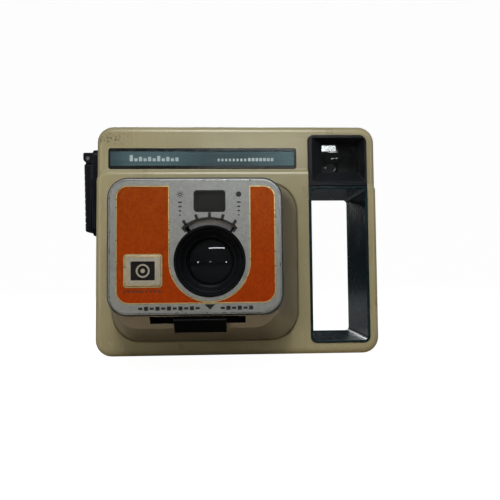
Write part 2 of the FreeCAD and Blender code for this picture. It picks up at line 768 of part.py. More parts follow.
def exposure_slider():
    half = slider_width / 2
    slot_z = facet_top - 0.3
    neck_z = (slot_z - slot_height + 0.4, slot_z - 0.4)
    drop = math.atan2(facet_top - housing_floor_z(knee_y), knee_y - housing_y)
    along = V(0, math.cos(drop), -math.sin(drop))
    out = V(0, -math.sin(drop), -math.cos(drop))
    top = V(0, housing_y, facet_top)
    face_length = (knee_y - housing_y) / math.cos(drop)
    near, far = 0.5, 2.5
    ends = [top + along * 0.5 + out * near, top + along * 0.5 + out * far,
            top + along * (face_length + 0.9) + out * far, top + along * (face_length + 0.9) + out * near]
    corners = [(p.y, p.z, 0.5) for p in ends]
    tab = prism_x(corners, slider_centre_x - half, slider_centre_x + half)
    back = ring_y + ring_thickness + 1.4
    neck = box(slider_centre_x - half + 1, slider_centre_x + half - 1, housing_y + 0.6, back + 1, *neck_z)
    bar = box(slider_centre_x - slider_bar_half, slider_centre_x + slider_bar_half,
              back, back + 1.5, neck_z[0] - 0.2, neck_z[1] + 0.6)
    riser = box(lens_x - 5, lens_x + 5, back, back + 1.5, neck_z[0], lens_z - drive_radius + 1.3)
    pin = rod_y(drive_pin_radius, ring_y + 0.1, back + 1, lens_x, lens_z - drive_radius)
    return joined(tab, neck, bar, riser, pin)


# ---- lens and shutter ----
def lens_glass():
    y = cup_back + 0.52
    rim = rod_y(glass_radius, y, y + glass_edge, lens_x, lens_z)
    return rim.fuse(bulged_disc(glass_radius - 0.5, y, y + glass_edge, glass_bulge, 0.6, lens_x, lens_z))


def shutter_plate():
    y0, y1 = shutter_y, shutter_y + shutter_plate_thickness
    body = prism_y(rect((-58.5, 15.8, 37.0, 93.5), 5.0), y0, y1)
    body = body.cut(rod_y(aperture_radius, y0 - 1, y1 + 1, lens_x, lens_z))
    posts = [rod_y(0.8, y1, y1 + 2.6, lens_x + side * blade_pivot_offset, lens_z) for side in (-1, 1)]
    rails = [box(x, x + 2, y1, y1 + 3.0, 44.0, 72.0) for x in (lens_x - 26, lens_x + 24)]
    return joined(body, *posts, *rails)


def shutter_blade(side):
    """One of the two blades, that swings on its post; they close over the aperture edge to edge."""
    y0 = shutter_y + shutter_plate_thickness + (0.2 if side < 0 else 0.2 + blade_thickness + 0.2)
    y1 = y0 + blade_thickness
    pivot_x = lens_x + side * blade_pivot_offset
    inner_x = lens_x - side * 6.5
    corners = [(pivot_x + side * 3, lens_z - 4, 2.0), (pivot_x + side * 3, lens_z + 4, 2.0),
               (inner_x, lens_z + 7.5, 2.5), (inner_x, lens_z - 7.5, 2.5)]
    if side > 0:
        corners.reverse()
    blade = prism_y(corners, y0, y1)
    return blade.cut(rod_y(0.85, y0 - 1, y1 + 1, pivot_x, lens_z))


def shutter_magnet():
    """Coil on an iron core that trips the blades, beside them on the shutter plate."""
    y0 = shutter_y + shutter_plate_thickness
    x, z = lens_x + 4.0, 86.4
    core = rod_x(1.6, x - 8, x + 8, y0 + 4.5, z)
    coil = rod_x(4.0, x - 6, x + 6, y0 + 4.5, z)
    yoke = [box(x + s * 8 - 1.0, x + s * 8 + 1.0, y0, y0 + 7, z - 3, z + 3) for s in (-1, 1)]
    return joined(core, coil, *yoke)


def circuit_board():
    top = housing_front[3] - 6.2
    y0 = shutter_y + shutter_plate_thickness + 1.0
    board = prism_z(rect((-46, 14, y0, y0 + 34), 1.5), top - 1.4, top)
    chip = box(-30, -18, y0 + 8, y0 + 16, top, top + 2.2)
    capacitor = rod_x(2.0, -8, 4, y0 + 12, top + 1.7)
    capacitor = capacitor.common(box(-9, 5, y0, y0 + 34, top, top + 9))
    resistors = [rod_x(0.9, x, x + 6, y0 + 24, top + 0.8).common(box(-60, 20, y0, y0 + 34, top, top + 9))
                 for x in (-38, -28, -18, -8)]
    return joined(board, chip, capacitor, *resistors)


def light_baffle():
    """Black tapered tunnel from the shutter to the film."""
    y0 = shutter_y + shutter_plate_thickness + 4.2
    y1 = chamber_front
    flange = prism_y(rect((lens_x - 26, lens_x + 26, 44.0, 72.0), 2.0), y0 - 1.2, y0 + 0.5)
    small = (lens_x - 14, lens_x + 14, lens_z - 12, lens_z + 12)
    large = (lens_x - image_width / 2 - 1, lens_x + image_width / 2 + 1,
             lens_z - image_height / 2 - 1, lens_z + image_height / 2 + 1)
    outer = loft_y(rect(grow(small, 1.4), 3.4), y0, rect(grow(large, 1.4), 3.4), y1)
    inner = loft_y(rect(small, 2.0), y0, rect(large, 2.0), y1)
    mouth = prism_y(rect(small, 2.0), y0 - 5, y0 + 0.1)
    return outer.fuse(flange).cut(inner).cut(mouth)


# ---- film chamber and rollers ----
def film_chamber():
    left, right, bottom, top = chamber
    y0, y1 = chamber_front, rear_y - door_thickness - 0.6
    body = box(left, right, y0, y1, bottom, top)
    body = body.cut(box(left + chamber_wall, right - chamber_wall, y0 + chamber_wall, y1 + 1,
                        bottom + chamber_wall, top + 1))
    image = (lens_x - image_width / 2, lens_x + image_width / 2,
             lens_z - image_height / 2, lens_z + image_height / 2)
    body = body.cut(prism_y(rect(image, 1.0), y0 - 1, y0 + 9))
    return body.cut(box(left - 1, left + 4, y0 + 4, y0 + 8, bottom + 6, bottom + 34))


def film_pick():
    """Steel strip beside the chamber whose hook lifts a print into the rollers."""
    x1 = chamber[0] - 0.3
    y0 = chamber_front + 4.6
    strip_body = box(x1 - 0.8, x1, y0, y0 + 2.8, 14.0, 62.0)
    hook = box(x1 - 0.8, chamber[0] + chamber_wall + 2.2, y0, y0 + 2.8, 14.0, 15.6)
    head = box(x1 - 4.0, x1, y0, y0 + 2.8, 58.0, 62.0)
    return joined(strip_body, hook, head)


def roller(y, gear_end):
    body = rod_x(roller_radius, roller_left, roller_right, y, roller_height)
    left_end = gear_left - 0.6 if gear_end else roller_left - 5.0
    journal = rod_x(journal_radius, left_end, roller_right + 8.2, y, roller_height)
    return body.fuse(journal)


def roller_frame():
    y0, y1 = front_roller_y - roller_radius - 2.8, rear_roller_y + roller_radius + 1.9
    z0, z1 = chamber[3] + 0.6, roller_height + 7.5
    left_plate = box(roller_left - 3.4, roller_left - 1.9, y0, y1, z0, z1)
    right_plate = box(roller_right + 1.9, roller_right + 3.4, y0, y1, z0, z1)
    bars = [box(roller_left - 2, roller_right + 2, y0, y0 + 1.2, z0 + 1, z1 - 2),
            box(roller_left - 2, roller_right + 2, y1 - 1.2, y1, z0 + 1, z1 - 2)]
    frame = joined(left_plate, right_plate, *bars)
    for y in (front_roller_y, rear_roller_y):
        frame = frame.cut(rod_x(journal_radius + 1.0, -90, 60, y, roller_height))
    return frame


def roller_bushes():
    """Four bronze bushes with a small flange, in the roller frame."""
    bushes = []
    for y in (front_roller_y, rear_roller_y):
        for outer_x, inner_x in (
            (roller_left - 3.4, roller_left - 1.9),
            (roller_right + 3.4, roller_right + 1.9),
        ):
            x0, x1 = min(outer_x, inner_x), max(outer_x, inner_x)
            sleeve = rod_x(journal_radius + 1.0, x0, x1, y, roller_height)
            toward = 1 if inner_x > outer_x else -1
            f0, f1 = sorted((inner_x, inner_x + toward * 0.8))
            flange = rod_x(journal_radius + 1.7, f0, f1, y, roller_height)
            bush = joined(sleeve, flange)
            bushes.append(bush.cut(rod_x(journal_radius + shaft_play, -90, 60, y, roller_height)))
    return Part.makeCompound(bushes)


def pressure_spring():
    """Bowed strip that bears on the bushes of the rear roller."""
    touch = rear_roller_y + journal_radius + 1.75
    outer = rear_roller_y + roller_radius + 0.25
    half_left, half_right = roller_left - 1.8, roller_right + 1.8
    t = 0.3
    corners = [
        (half_left, touch, 0), (half_left + 1.1, touch, 0), (half_left + 1.7, outer, 0),
        (half_right - 1.7, outer, 0), (half_right - 1.1, touch, 0), (half_right, touch, 0),
        (half_right, touch + t, 0), (half_right - 0.9, touch + t, 0), (half_right - 1.5, outer + t, 0),
        (half_left + 1.5, outer + t, 0), (half_left + 0.9, touch + t, 0), (half_left, touch + t, 0),
    ]
    return prism_z(corners, roller_height - 2.5, roller_height + 2.5)


# ---- gears ----
def gear(teeth, module, y, z, x0, x1, phase, bore):
    """Spur gear about an axis along X; phase is the angle of one tooth, from +Y towards +Z."""
    pitch = module * teeth / 2
    base = pitch * math.cos(pressure_angle)
    tip = pitch + addendum * module
    root = pitch - dedendum * module
    start = max(base, root) + 1e-4
    half = math.pi / (2 * teeth) - backlash / (4 * pitch)
    involute = math.tan(pressure_angle) - pressure_angle

    def flank(radius):
        roll = math.acos(min(1.0, base / radius))
        return half + involute - (math.tan(roll) - roll)

    def at(radius, angle):
        return V(x0, y + radius * math.cos(angle), z + radius * math.sin(angle))

    radii = [start + (tip - start) * k / 5 for k in range(6)]
    edges = []
    for k in range(teeth):
        middle = phase + 2 * math.pi * k / teeth
        rise = Part.BSplineCurve()
        rise.interpolate([at(r, middle - flank(r)) for r in radii])
        fall = Part.BSplineCurve()
        fall.interpolate([at(r, middle + flank(r)) for r in reversed(radii)])
        foot = flank(start)
        edges.append(Part.LineSegment(at(root, middle - foot), at(start, middle - foot)).toShape())
        edges.append(rise.toShape())
        crest = flank(tip)
        edges.append(Part.Arc(at(tip, middle - crest), at(tip, middle), at(tip, middle + crest)).toShape())
        edges.append(fall.toShape())
        edges.append(Part.LineSegment(at(start, middle + foot), at(root, middle + foot)).toShape())
        gap_end = middle + 2 * math.pi / teeth - foot
        gap_middle = (middle + foot + gap_end) / 2
        edges.append(Part.Arc(at(root, middle + foot), at(root, gap_middle), at(root, gap_end)).toShape())
    body = Part.Face(Part.Wire(edges)).extrude(V(x1 - x0, 0, 0))
    return body.cut(rod_x(bore, x0 - 1, x1 + 1, y, z))


def meshing_phase(from_axis, from_teeth, from_phase, to_axis, to_teeth):
    """Phase of a gear whose gap meets the tooth of the gear that drives it."""
    toward = math.atan2(to_axis[1] - from_axis[1], to_axis[0] - from_axis[0])
    share = (toward - from_phase) * from_teeth / (2 * math.pi)
    return toward + math.pi - (0.5 - share) * 2 * math.pi / to_teeth


def idler_axis():
    """Where the idler meshes with both the crank gear and the roller pinion, on the front side."""
    first = gear_module * (crank_teeth + idler_teeth) / 2
    second = gear_module * (idler_teeth + pinion_teeth) / 2
    dy, dz = front_roller_y - crank_y, roller_height - crank_z
    apart = math.hypot(dy, dz)
    along = (first ** 2 - second ** 2 + apart ** 2) / (2 * apart)
    aside = math.sqrt(first ** 2 - along ** 2)
    return crank_y + (dy * along - dz * aside) / apart, crank_z + (dz * along + dy * aside) / apart


crank_axis = (crank_y, crank_z)
roller_axis = (front_roller_y, roller_height)
crank_phase = 0.0
idler_phase = meshing_phase(crank_axis, crank_teeth, crank_phase, idler_axis(), idler_teeth)
pinion_phase = meshing_phase(idler_axis(), idler_teeth, idler_phase, roller_axis, pinion_teeth)
gear_right = gear_left + gear_width


def crank_gear():
    return gear(crank_teeth, gear_module, *crank_axis, gear_left, gear_right, crank_phase, shaft_radius)


def idler_gear():
    return gear(idler_teeth, gear_module, *idler_axis(), gear_left, gear_right, idler_phase,
                idler_pin_radius + shaft_play)


def roller_pinion():
    return gear(pinion_teeth, gear_module, *roller_axis, gear_left, gear_right, pinion_phase,
                journal_radius)


rear_coupling_phase = meshing_phase(roller_axis, coupling_teeth, 0.0,
                                    (rear_roller_y, roller_height), coupling_teeth)


def coupling_gear(y, phase):
    x0 = roller_right + 4.2
    return gear(coupling_teeth, coupling_module, y, roller_height, x0, x0 + 3.6, phase, journal_radius)


def gear_plate():
    """Steel plate that carries the crank shaft and the idler, on two studs from the film chamber."""
    y, z = idler_axis()
    x0, x1 = gear_plate_left, gear_plate_left + gear_plate_thickness
    corners = [(crank_y - 10, crank_z - 12, 3), (14, crank_z - 16, 3), (14, roller_height + 5, 3),
               (front_roller_y - 6, roller_height + 7, 3), (y - 7, z + 3, 3)]
    body = prism_x(corners, x0, x1)
    studs = [rod_x(1.6, x0, chamber[0], 7.3, height) for height in (crank_z - 10, 111.0)]
    body = joined(body, *studs)
    body = body.cut(rod_x(shaft_radius + shaft_play, x0 - 1, x1 + 1, crank_y, crank_z))
    body = body.cut(rod_x(idler_pin_radius, x0 - 1, x1 + 1, y, z))
    return body.cut(rod_x(journal_radius + 0.3, x0 - 1, x1 + 1, *roller_axis))


def idler_pin():
    y, z = idler_axis()
    shank = rod_x(idler_pin_radius, gear_left - 1.0, gear_plate_left + gear_plate_thickness, y, z)
    head = rod_x(idler_pin_radius + 1.2, gear_left - 1.6, gear_left - 0.4, y, z)
    return joined(shank, head)


# ---- crank ----
def crank_bush():
    """Bearing in the side wall, with the escutcheon under the arm."""
    sleeve = rod_x(bush_radius, -body_width / 2, side_inner + 0.8, crank_y, crank_z)
    disc = rod_x(escutcheon_radius, escutcheon_x, -body_width / 2, crank_y, crank_z)
    rim = [e for e in disc.Edges if abs(e.BoundBox.XMax - escutcheon_x) < 1e-4]
    disc = disc.makeFillet(0.6, rim)
    body = joined(sleeve, disc)
    return body.cut(rod_x(shaft_radius + shaft_play, -body_width, 0, crank_y, crank_z))


def crank_shaft():
    inner_end = gear_plate_left + gear_plate_thickness + 0.8
    return rod_x(shaft_radius, arm_outer_x + 1.5, inner_end, crank_y, crank_z)


def crank_arm():
    y, r = crank_y, arm_end_radius
    corners = [(y - r, crank_z - r, r), (y + r, crank_z - r, r),
               (y + r, hinge_z + r, r - 1.5), (y - r, hinge_z + r, r - 1.5)]
    arm = prism_x(corners, arm_outer_x, arm_x)
    outer_edges = [e for e in arm.Edges
                   if abs(e.BoundBox.XMin - arm_outer_x) < 1e-4 and abs(e.BoundBox.XMax - arm_outer_x) < 1e-4]
    arm = arm.makeFillet(0.8, outer_edges)
    for y0 in (grip_front, grip_back - cheek_width):
        outer, root = hinge_x - cheek_radius, arm_outer_x + 1
        low, high = hinge_z - cheek_radius, hinge_z + cheek_radius + 0.8
        corners = [(outer, low, cheek_radius - 0.01), (root, low, 0), (root, high, 0), (outer, high, 0.9)]
        arm = arm.fuse(prism_y(corners, y0, y0 + cheek_width))
    arm = arm.removeSplitter()
    arm = arm.cut(rod_y(grip_pin_radius, grip_front - 1, grip_back + 1, hinge_x, hinge_z))
    return arm.cut(rod_x(shaft_radius, arm_outer_x + 1.5, 0, crank_y, crank_z))


def grip_pin():
    return rod_y(grip_pin_radius, grip_front, grip_back, hinge_x, hinge_z)


def crank_grip():
    """Folding grip: lies along the arm, and swings out square to it to turn the crank."""
    inner = arm_outer_x - grip_gap
    top = hinge_z - grip_shoulder
    corners = [(inner, top), (inner - grip_thickness, top), (inner - grip_tip_thickness, top - grip_length),
               (inner, top - grip_length)]
    points = [V(x, grip_front, z) for x, z in corners]
    slab = Part.Face(Part.makePolygon(points + points[:1])).extrude(V(0, grip_width, 0))
    bottom = top - grip_length
    outer = [e for e in slab.Edges if e.BoundBox.XMin < inner - 0.5 or e.BoundBox.ZMax < bottom + 0.1]
    slab = slab.makeFillet(1.4, outer)
    for k in range(9):
        height = top - 8 - k * 4.0
        face_x = inner - grip_thickness + 0.1 + k * 0.14
        slab = slab.cut(rod_y(0.5, grip_front - 1, grip_back + 1, face_x, height))
    barrel_front, barrel_back = grip_front + cheek_width + 0.2, grip_back - cheek_width - 0.2
    barrel = rod_y(cheek_radius - 0.7, barrel_front, barrel_back, hinge_x, hinge_z)
    neck = box(hinge_x - 1.9, hinge_x + 1.9, barrel_front, barrel_back, top - 1, hinge_z)
    grip = joined(slab, barrel, neck)
    return grip.cut(rod_y(grip_pin_radius + shaft_play, grip_front - 1, grip_back + 1, hinge_x, hinge_z))


# ---- grip window and viewfinder ----
def grip_liner():
    """Black sleeve through the body that the fingers pass through."""
    outer = (window_left, window_right, window_bottom, window_split - 0.1)
    inner = grow(outer, -liner_wall)
    corners = [(outer[0], outer[2], liner_corner), (outer[1], outer[2], liner_corner),
               (outer[1], outer[3], 0.6), (outer[0], outer[3], 0.6)]
    sleeve = prism_y(corners, front_y - liner_proud, rear_y + liner_proud)
    hole = prism_y(rect(inner, liner_corner - 1.4), front_y - 5, rear_y + 5)
    sleeve = sleeve.cut(hole)
    rims = [e for y in (front_y - liner_proud, rear_y + liner_proud) for e in edges_at_y(sleeve, y)]
    sleeve = sleeve.makeFillet(0.4, rims)
    slot = box(window_left - 1, window_left + liner_wall + 1, trigger_front - 0.4, trigger_back + 0.4,
               trigger_bottom + 3.6, trigger_top + 0.4)
    sleeve = sleeve.cut(slot)
    pin = rod_y(0.75, trigger_front - 2.5, trigger_back + 2.5, *trigger_axis())
    lugs = [box(trigger_axis()[0] - 1.6, window_left, y, y + 2.0, trigger_bottom - 2, trigger_bottom + 2)
            for y in (trigger_front - 2.5, trigger_back + 0.5)]
    return joined(sleeve, *lugs).cut(pin)


def trigger_axis():
    return window_left - 2.0, trigger_bottom


def shutter_trigger():
    """Squeeze bar in the side of the grip window, hung on a pin at its lower end."""
    x, z = trigger_axis()
    lever = box(x - 0.9, x + 1.3, trigger_front, trigger_back, z - 1.4, trigger_top + 2.4)
    pad = box(x + 0.5, window_left + liner_wall + trigger_proud, trigger_front, trigger_back,
              trigger_bottom + 4.2, trigger_top)
    edges = [e for e in pad.Edges if e.BoundBox.XMin > window_left + liner_wall + trigger_proud - 0.01]
    pad = pad.makeFillet(1.3, edges)
    bar = joined(lever, pad)
    return bar.cut(rod_y(0.8, trigger_front - 1, trigger_back + 1, x, z))


def trigger_pin():
    return rod_y(0.75, trigger_front - 2.5, trigger_back + 2.5, *trigger_axis())


def release_switch():
    """Leaf switch on the film chamber's side, that the trigger closes."""
    x0 = chamber[1] + 0.05
    base = box(x0, x0 + 0.5, -8.0, 0.2, 84.0, 96.0)
    leaf = box(x0 + 0.5, x0 + 0.75, -8.0, trigger_front + 3.0, 88.0, 92.0)
    return base.fuse(leaf)


def finder_bezel():
    """Black funnel round the viewfinder's front pane."""
    outer = (window_left, window_right, window_split, window_top)
    left, right, bottom, top = outer
    corners = [(left, bottom, 0.6), (right, bottom, 0.6), (right, top, liner_corner + 1.0),
               (left, top, liner_corner - 0.5)]
    front = front_y - bezel_proud
    body = prism_y(corners, front, upper_y + 9.0)
    body = body.makeFillet(0.7, edges_at_y(body, front))
    mouth = (left + 2.2, right - 1.5, bottom + 3.0, top - 1.9)
    pane_y = front + finder_pane_depth
    body = body.cut(loft_y(rect(mouth, 0.8), front, rect(finder_pane, 0.8), pane_y))
    body = body.cut(prism_y(rect(finder_pane, 0.8), pane_y, upper_y + 20))
    seat = grow(finder_pane, 1.2)
    return body.cut(prism_y(rect(seat, 1.2), pane_y + 1.2, upper_y + 20))


def finder_front_lens():
    """Negative front pane: flat in front, hollow behind."""
    y0 = front_y - bezel_proud + finder_pane_depth + 1.25
    pane = prism_y(rect(grow(finder_pane, 1.1), 1.1), y0, y0 + 2.6)
    x = (finder_pane[0] + finder_pane[1]) / 2
    z = (finder_pane[2] + finder_pane[3]) / 2
    ball = Part.makeSphere(38.0, V(x, y0 + 2.6 + 38.0 - 1.6, z))
    return pane.cut(ball)


def finder_tube():
    y0 = upper_y + 9.1
    y1 = rear_y - wall - 2.1
    big, small = grow(finder_pane, 1.2), grow(eyepiece, -1.4)
    outer = loft_y(rect(grow(big, 1.2), 2.0), y0, rect(grow(small, 1.2), 2.0), y1)
    inner = loft_y(rect(big, 1.2), y0, rect(small, 1.2), y1)
    return outer.cut(inner)


def eyepiece_frame():
    y0 = rear_y - wall - 2.0
    body = prism_y(rect(eyepiece, 1.8), y0, rear_y + 1.4)
    body = body.makeFillet(0.6, edges_at_y(body, rear_y + 1.4))
    x = (eyepiece[0] + eyepiece[1]) / 2
    z = (eyepiece[2] + eyepiece[3]) / 2
    body = body.cut(rod_y(eyepiece_radius, y0 + 1.2, rear_y - 0.4, x, z))
    body = body.cut(rod_y(eyepiece_radius - 0.8, y0 - 1, rear_y, x, z))
    cone = Part.makeCone(eyepiece_radius - 0.8, eyepiece_radius + 0.9, 2.0, V(x, rear_y - 0.5, z), V(0, 1, 0))
    return body.cut(cone)


def eyepiece_lens():
    y0 = rear_y - wall - 2.0 + 1.2
    x = (eyepiece[0] + eyepiece[1]) / 2
    z = (eyepiece[2] + eyepiece[3]) / 2
    return bulged_disc(eyepiece_radius - 0.05, y0 + 0.9, y0 + 2.2, 0.8, 0.3, x, z)


# ---- flash socket ----
def flash_socket():
    left, right, front, back = socket
    low = body_height - socket_depth
    body = prism_z(rect((left, right, front, back), 1.0), low, body_height + 0.3)
    top = [e for e in body.Edges if abs(e.BoundBox.ZMin - body_height - 0.3) < 1e-4]
    body = body.makeFillet(0.25, top)
    x, y = (left + right) / 2, (front + back) / 2
    w, d, h = socket_slot
    hole = prism_z(rect((x - w / 2, x + w / 2, y - d / 2, y + d / 2), 0.8), body_height - h, body_height + 2)
    return body.cut(hole)


# ---- film door ----
def film_door():
    y0 = rear_y - door_thickness
    panel = prism_y(rect(door, door_corner), y0, rear_y)
    panel = panel.makeFillet(0.7, edges_at_y(panel, rear_y))
    for k in range(14):
        height = 24.0 + k * 2.6
        panel = panel.cut(rod_x(0.55, -52, -20, rear_y + 0.1, height))
    field = prism_y(rect((-58, 30, 72, 108), 2.5), rear_y - 0.5, rear_y + 1)
    panel = panel.cut(field)
    panel = panel.cut(box(latch_x()[0] + 1.8, latch_x()[1] - 1.8, y0 - 1, rear_y + 1,
                          latch_height - 3.2, latch_height + latch_travel + 3.2))
    panel = panel.cut(box(door[0] - 1, latch_x()[0] + 3, y0 - 1, rear_y - 0.2,
                          latch_height - 3.2, latch_height + latch_travel + 3.2))
    for low, high in knuckle_spans(0):
        relief = rod_z(knuckle_radius + knuckle_relief, low - 0.15, high + 0.15, door_axis_x, rear_y)
        panel = panel.cut(relief)
    knuckles = [rod_z(knuckle_radius, low, high, door_axis_x, rear_y) for low, high in knuckle_spans(1)]
    panel = joined(panel, *knuckles)
    return panel.cut(rod_z(door_pin_radius + shaft_play, 0, body_height, door_axis_x, rear_y))


def latch_x():
    return door[0] + 2.0, door[0] + 13.0


def door_latch():
    """Slide on the door with a tongue towards the edge."""
    x0, x1 = latch_x()
    low, high = latch_height - 6.5, latch_height + 6.5
    button = prism_y(rect((x0, x1, low, high), 1.5), rear_y + 0.1, rear_y + 2.0)
    button = button.makeFillet(0.6, edges_at_y(button, rear_y + 2.0))
    for k in range(5):
        button = button.cut(rod_x(0.45, x0 - 1, x1 + 1, rear_y + 2.1, latch_height - 4 + k * 2.0))
    stem = box(x0 + 2.0, x1 - 2.0, rear_y - 2.0, rear_y + 0.5, latch_height - 3, latch_height + 3)
    tongue = box(door[0] - door_gap - 1.6, x0 + 2.5, rear_y - 2.0, rear_y - 0.6,
                 latch_height - 3, latch_height + 3)
    return joined(button, stem, tongue)


def door_hinge_pin():
    return rod_z(door_pin_radius, knuckle_ends[0] + 0.15, knuckle_ends[-1] - 0.15, door_axis_x, rear_y)


def pack_springs():
    """Two bowed steel strips on the door that press the film pack forward."""
    y0 = rear_y - door_thickness
    springs = []
    for x in (-46.0, 17.0):
        edges = [
            Part.Arc(V(x, y0 - 0.05, 30), V(x, y0 - 2.6, 58), V(x, y0 - 0.05, 86)).toShape(),
            Part.LineSegment(V(x, y0 - 0.05, 86), V(x, y0 - 0.4, 86)).toShape(),
            Part.Arc(V(x, y0 - 0.4, 86), V(x, y0 - 2.95, 58), V(x, y0 - 0.4, 30)).toShape(),
            Part.LineSegment(V(x, y0 - 0.4, 30), V(x, y0 - 0.05, 30)).toShape(),
        ]
        springs.append(Part.Face(Part.Wire(edges)).extrude(V(9, 0, 0)))
    return Part.makeCompound(springs)


# ---- picture counter ----
def counter_wheel():
    y0 = rear_y - wall - 2.2
    disc = rod_y(counter_radius, y0, y0 + 1.0, counter_x, counter_z)
    for k in range(12):
        turn = 2 * math.pi * k / 12
        x, z = counter_x + counter_radius * math.cos(turn), counter_z + counter_radius * math.sin(turn)
        disc = disc.cut(rod_y(0.6, y0 - 1, y0 + 2, x, z))
    return disc.cut(rod_y(counter_stud + shaft_play, y0 - 1, y0 + 2, counter_x, counter_z))



parts = {
    "front_shell": front_shell(),
    "rear_shell": rear_shell(),
    "name_strip_frame": name_strip_frame(),
    "name_strip_label": name_strip_label(),
    "housing_screws": housing_screws(),
    "lens_housing": lens_housing(),
    "plate_carrier": plate_carrier(),
    "face_plate": face_plate(),
    "orange_inlay": orange_inlay(),
    "badge_frame": badge_frame(),
    "meter_glass": meter_glass(),
    "lens_cup": lens_cup(),
    "lens_glass": lens_glass(),
    "exposure_ring": exposure_ring(),
    "exposure_sector": exposure_sector(),
    "exposure_slider": exposure_slider(),
    "shutter_plate": shutter_plate(),
    "shutter_blade_left": shutter_blade(-1),
    "shutter_blade_right": shutter_blade(1),
    "shutter_magnet": shutter_magnet(),
    "circuit_board": circuit_board(),
    "light_baffle": light_baffle(),
    "battery": battery(),
    "battery_tray": battery_tray(),
    "battery_cover": battery_cover(),
    "film_chamber": film_chamber(),
    "film_pick": film_pick(),
    "front_roller": roller(front_roller_y, True),
    "rear_roller": roller(rear_roller_y, False),
    "roller_frame": roller_frame(),
    "roller_bushes": roller_bushes(),
    "pressure_spring": pressure_spring(),
    "crank_gear": crank_gear(),
    "idler_gear": idler_gear(),
    "idler_pin": idler_pin(),
    "roller_pinion": roller_pinion(),
    "front_coupling_gear": coupling_gear(front_roller_y, 0.0),
    "rear_coupling_gear": coupling_gear(rear_roller_y, rear_coupling_phase),
    "gear_plate": gear_plate(),
    "crank_bush": crank_bush(),
    "crank_shaft": crank_shaft(),
    "crank_arm": crank_arm(),
    "grip_pin": grip_pin(),
    "crank_grip": crank_grip(),
    "grip_liner": grip_liner(),
    "shutter_trigger": shutter_trigger(),
    "trigger_pin": trigger_pin(),
    "release_switch": release_switch(),
    "finder_bezel": finder_bezel(),
    "finder_front_lens": finder_front_lens(),
    "finder_tube": finder_tube(),
    "eyepiece_frame": eyepiece_frame(),
    "eyepiece_lens": eyepiece_lens(),
    "flash_socket": flash_socket(),
    "film_door": film_door(),
    "door_latch": door_latch(),
    "door_hinge_pin": door_hinge_pin(),
    "pack_springs": pack_springs(),
    "counter_wheel": counter_wheel(),
    "counter_window": counter_window(),
}

os.makedirs("parts", exist_ok=True)
for name, shape in parts.items():
    shape.exportStep("parts/" + name + ".step")
    print(name, "solids", len(shape.Solids), "volume", round(shape.Volume, 1), "valid", shape.isValid())
print(len(parts), "parts")
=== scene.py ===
from math import atan2, pi, radians

import bpy
from mathutils import Matrix, Vector


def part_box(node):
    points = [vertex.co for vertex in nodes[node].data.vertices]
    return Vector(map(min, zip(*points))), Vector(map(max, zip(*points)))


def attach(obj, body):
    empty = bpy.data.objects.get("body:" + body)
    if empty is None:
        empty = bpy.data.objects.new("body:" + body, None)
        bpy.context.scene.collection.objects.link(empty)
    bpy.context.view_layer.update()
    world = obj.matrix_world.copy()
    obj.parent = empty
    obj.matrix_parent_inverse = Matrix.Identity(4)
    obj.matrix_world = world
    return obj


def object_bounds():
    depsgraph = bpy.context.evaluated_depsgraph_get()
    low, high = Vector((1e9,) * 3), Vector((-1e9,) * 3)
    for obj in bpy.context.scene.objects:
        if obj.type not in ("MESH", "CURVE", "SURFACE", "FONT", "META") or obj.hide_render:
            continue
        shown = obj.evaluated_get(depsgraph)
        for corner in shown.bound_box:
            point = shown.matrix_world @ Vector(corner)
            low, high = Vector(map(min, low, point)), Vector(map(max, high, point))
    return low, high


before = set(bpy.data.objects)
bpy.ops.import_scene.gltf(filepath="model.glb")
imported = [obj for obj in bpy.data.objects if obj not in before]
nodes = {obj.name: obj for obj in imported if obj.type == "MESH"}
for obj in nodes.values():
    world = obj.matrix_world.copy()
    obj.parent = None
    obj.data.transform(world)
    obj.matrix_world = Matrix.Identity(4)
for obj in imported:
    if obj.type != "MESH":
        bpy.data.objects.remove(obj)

cad_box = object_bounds()
scene = bpy.context.scene


# ---- camera ----
# A short lens close to the front, level with the lower half of the camera body.
eye_data = bpy.data.cameras.new("eye")
eye_data.sensor_width = 36.0
eye_data.lens = 34.1
eye = bpy.data.objects.new("eye", eye_data)
scene.collection.objects.link(eye)
turn = (Matrix.Rotation(radians(-2.19), 4, "Z") @ Matrix.Rotation(radians(2.63), 4, "X")
        @ Matrix.Rotation(radians(0.54), 4, "Y") @ Matrix.Rotation(radians(90), 4, "X"))
eye.matrix_world = Matrix.Translation((-0.0038, -0.3253, 0.0526)) @ turn
scene.camera = eye
scene.view_settings.view_transform = "Standard"


# ---- studio ----
# A pale table that sweeps up behind into a pale wall, a softbox above, strips at the
# sides, a warm card low on the left, a fill behind and a dim room all round.
def add(tree, kind, inputs=(), **settings):
    """Places one shader node; a socket given as a value is wired, a number is set."""
    made = tree.nodes.new("ShaderNode" + kind)
    for name, value in settings.items():
        setattr(made, name, value)
    for name, value in dict(inputs).items():
        if isinstance(value, bpy.types.NodeSocket):
            tree.links.new(value, made.inputs[name])
        else:
            made.inputs[name].default_value = value
    return made


def calc(tree, operation, first, second=0.0):
    return add(tree, "Math", {0: first, 1: second}, operation=operation).outputs[0]


def tint(tree, share, under, over, blend="MIX"):
    made = add(tree, "Mix", {0: share, 6: under, 7: over}, data_type="RGBA", blend_type=blend)
    return made.outputs[2]


def ramp(tree, value, low, high, to_low=0.0, to_high=1.0):
    made = add(tree, "MapRange", {"Value": value, "From Min": low, "From Max": high,
                                  "To Min": to_low, "To Max": to_high})
    return made.outputs["Result"]


def start_material(name, **values):
    """An empty material with its Principled shader, whose plain sockets are set by name."""
    material = bpy.data.materials.new(name)
    material.use_nodes = True
    tree = material.node_tree
    shader = tree.nodes["Principled BSDF"]
    for socket, value in values.items():
        shader.inputs[socket.replace("_", " ")].default_value = value
    return material, tree, shader


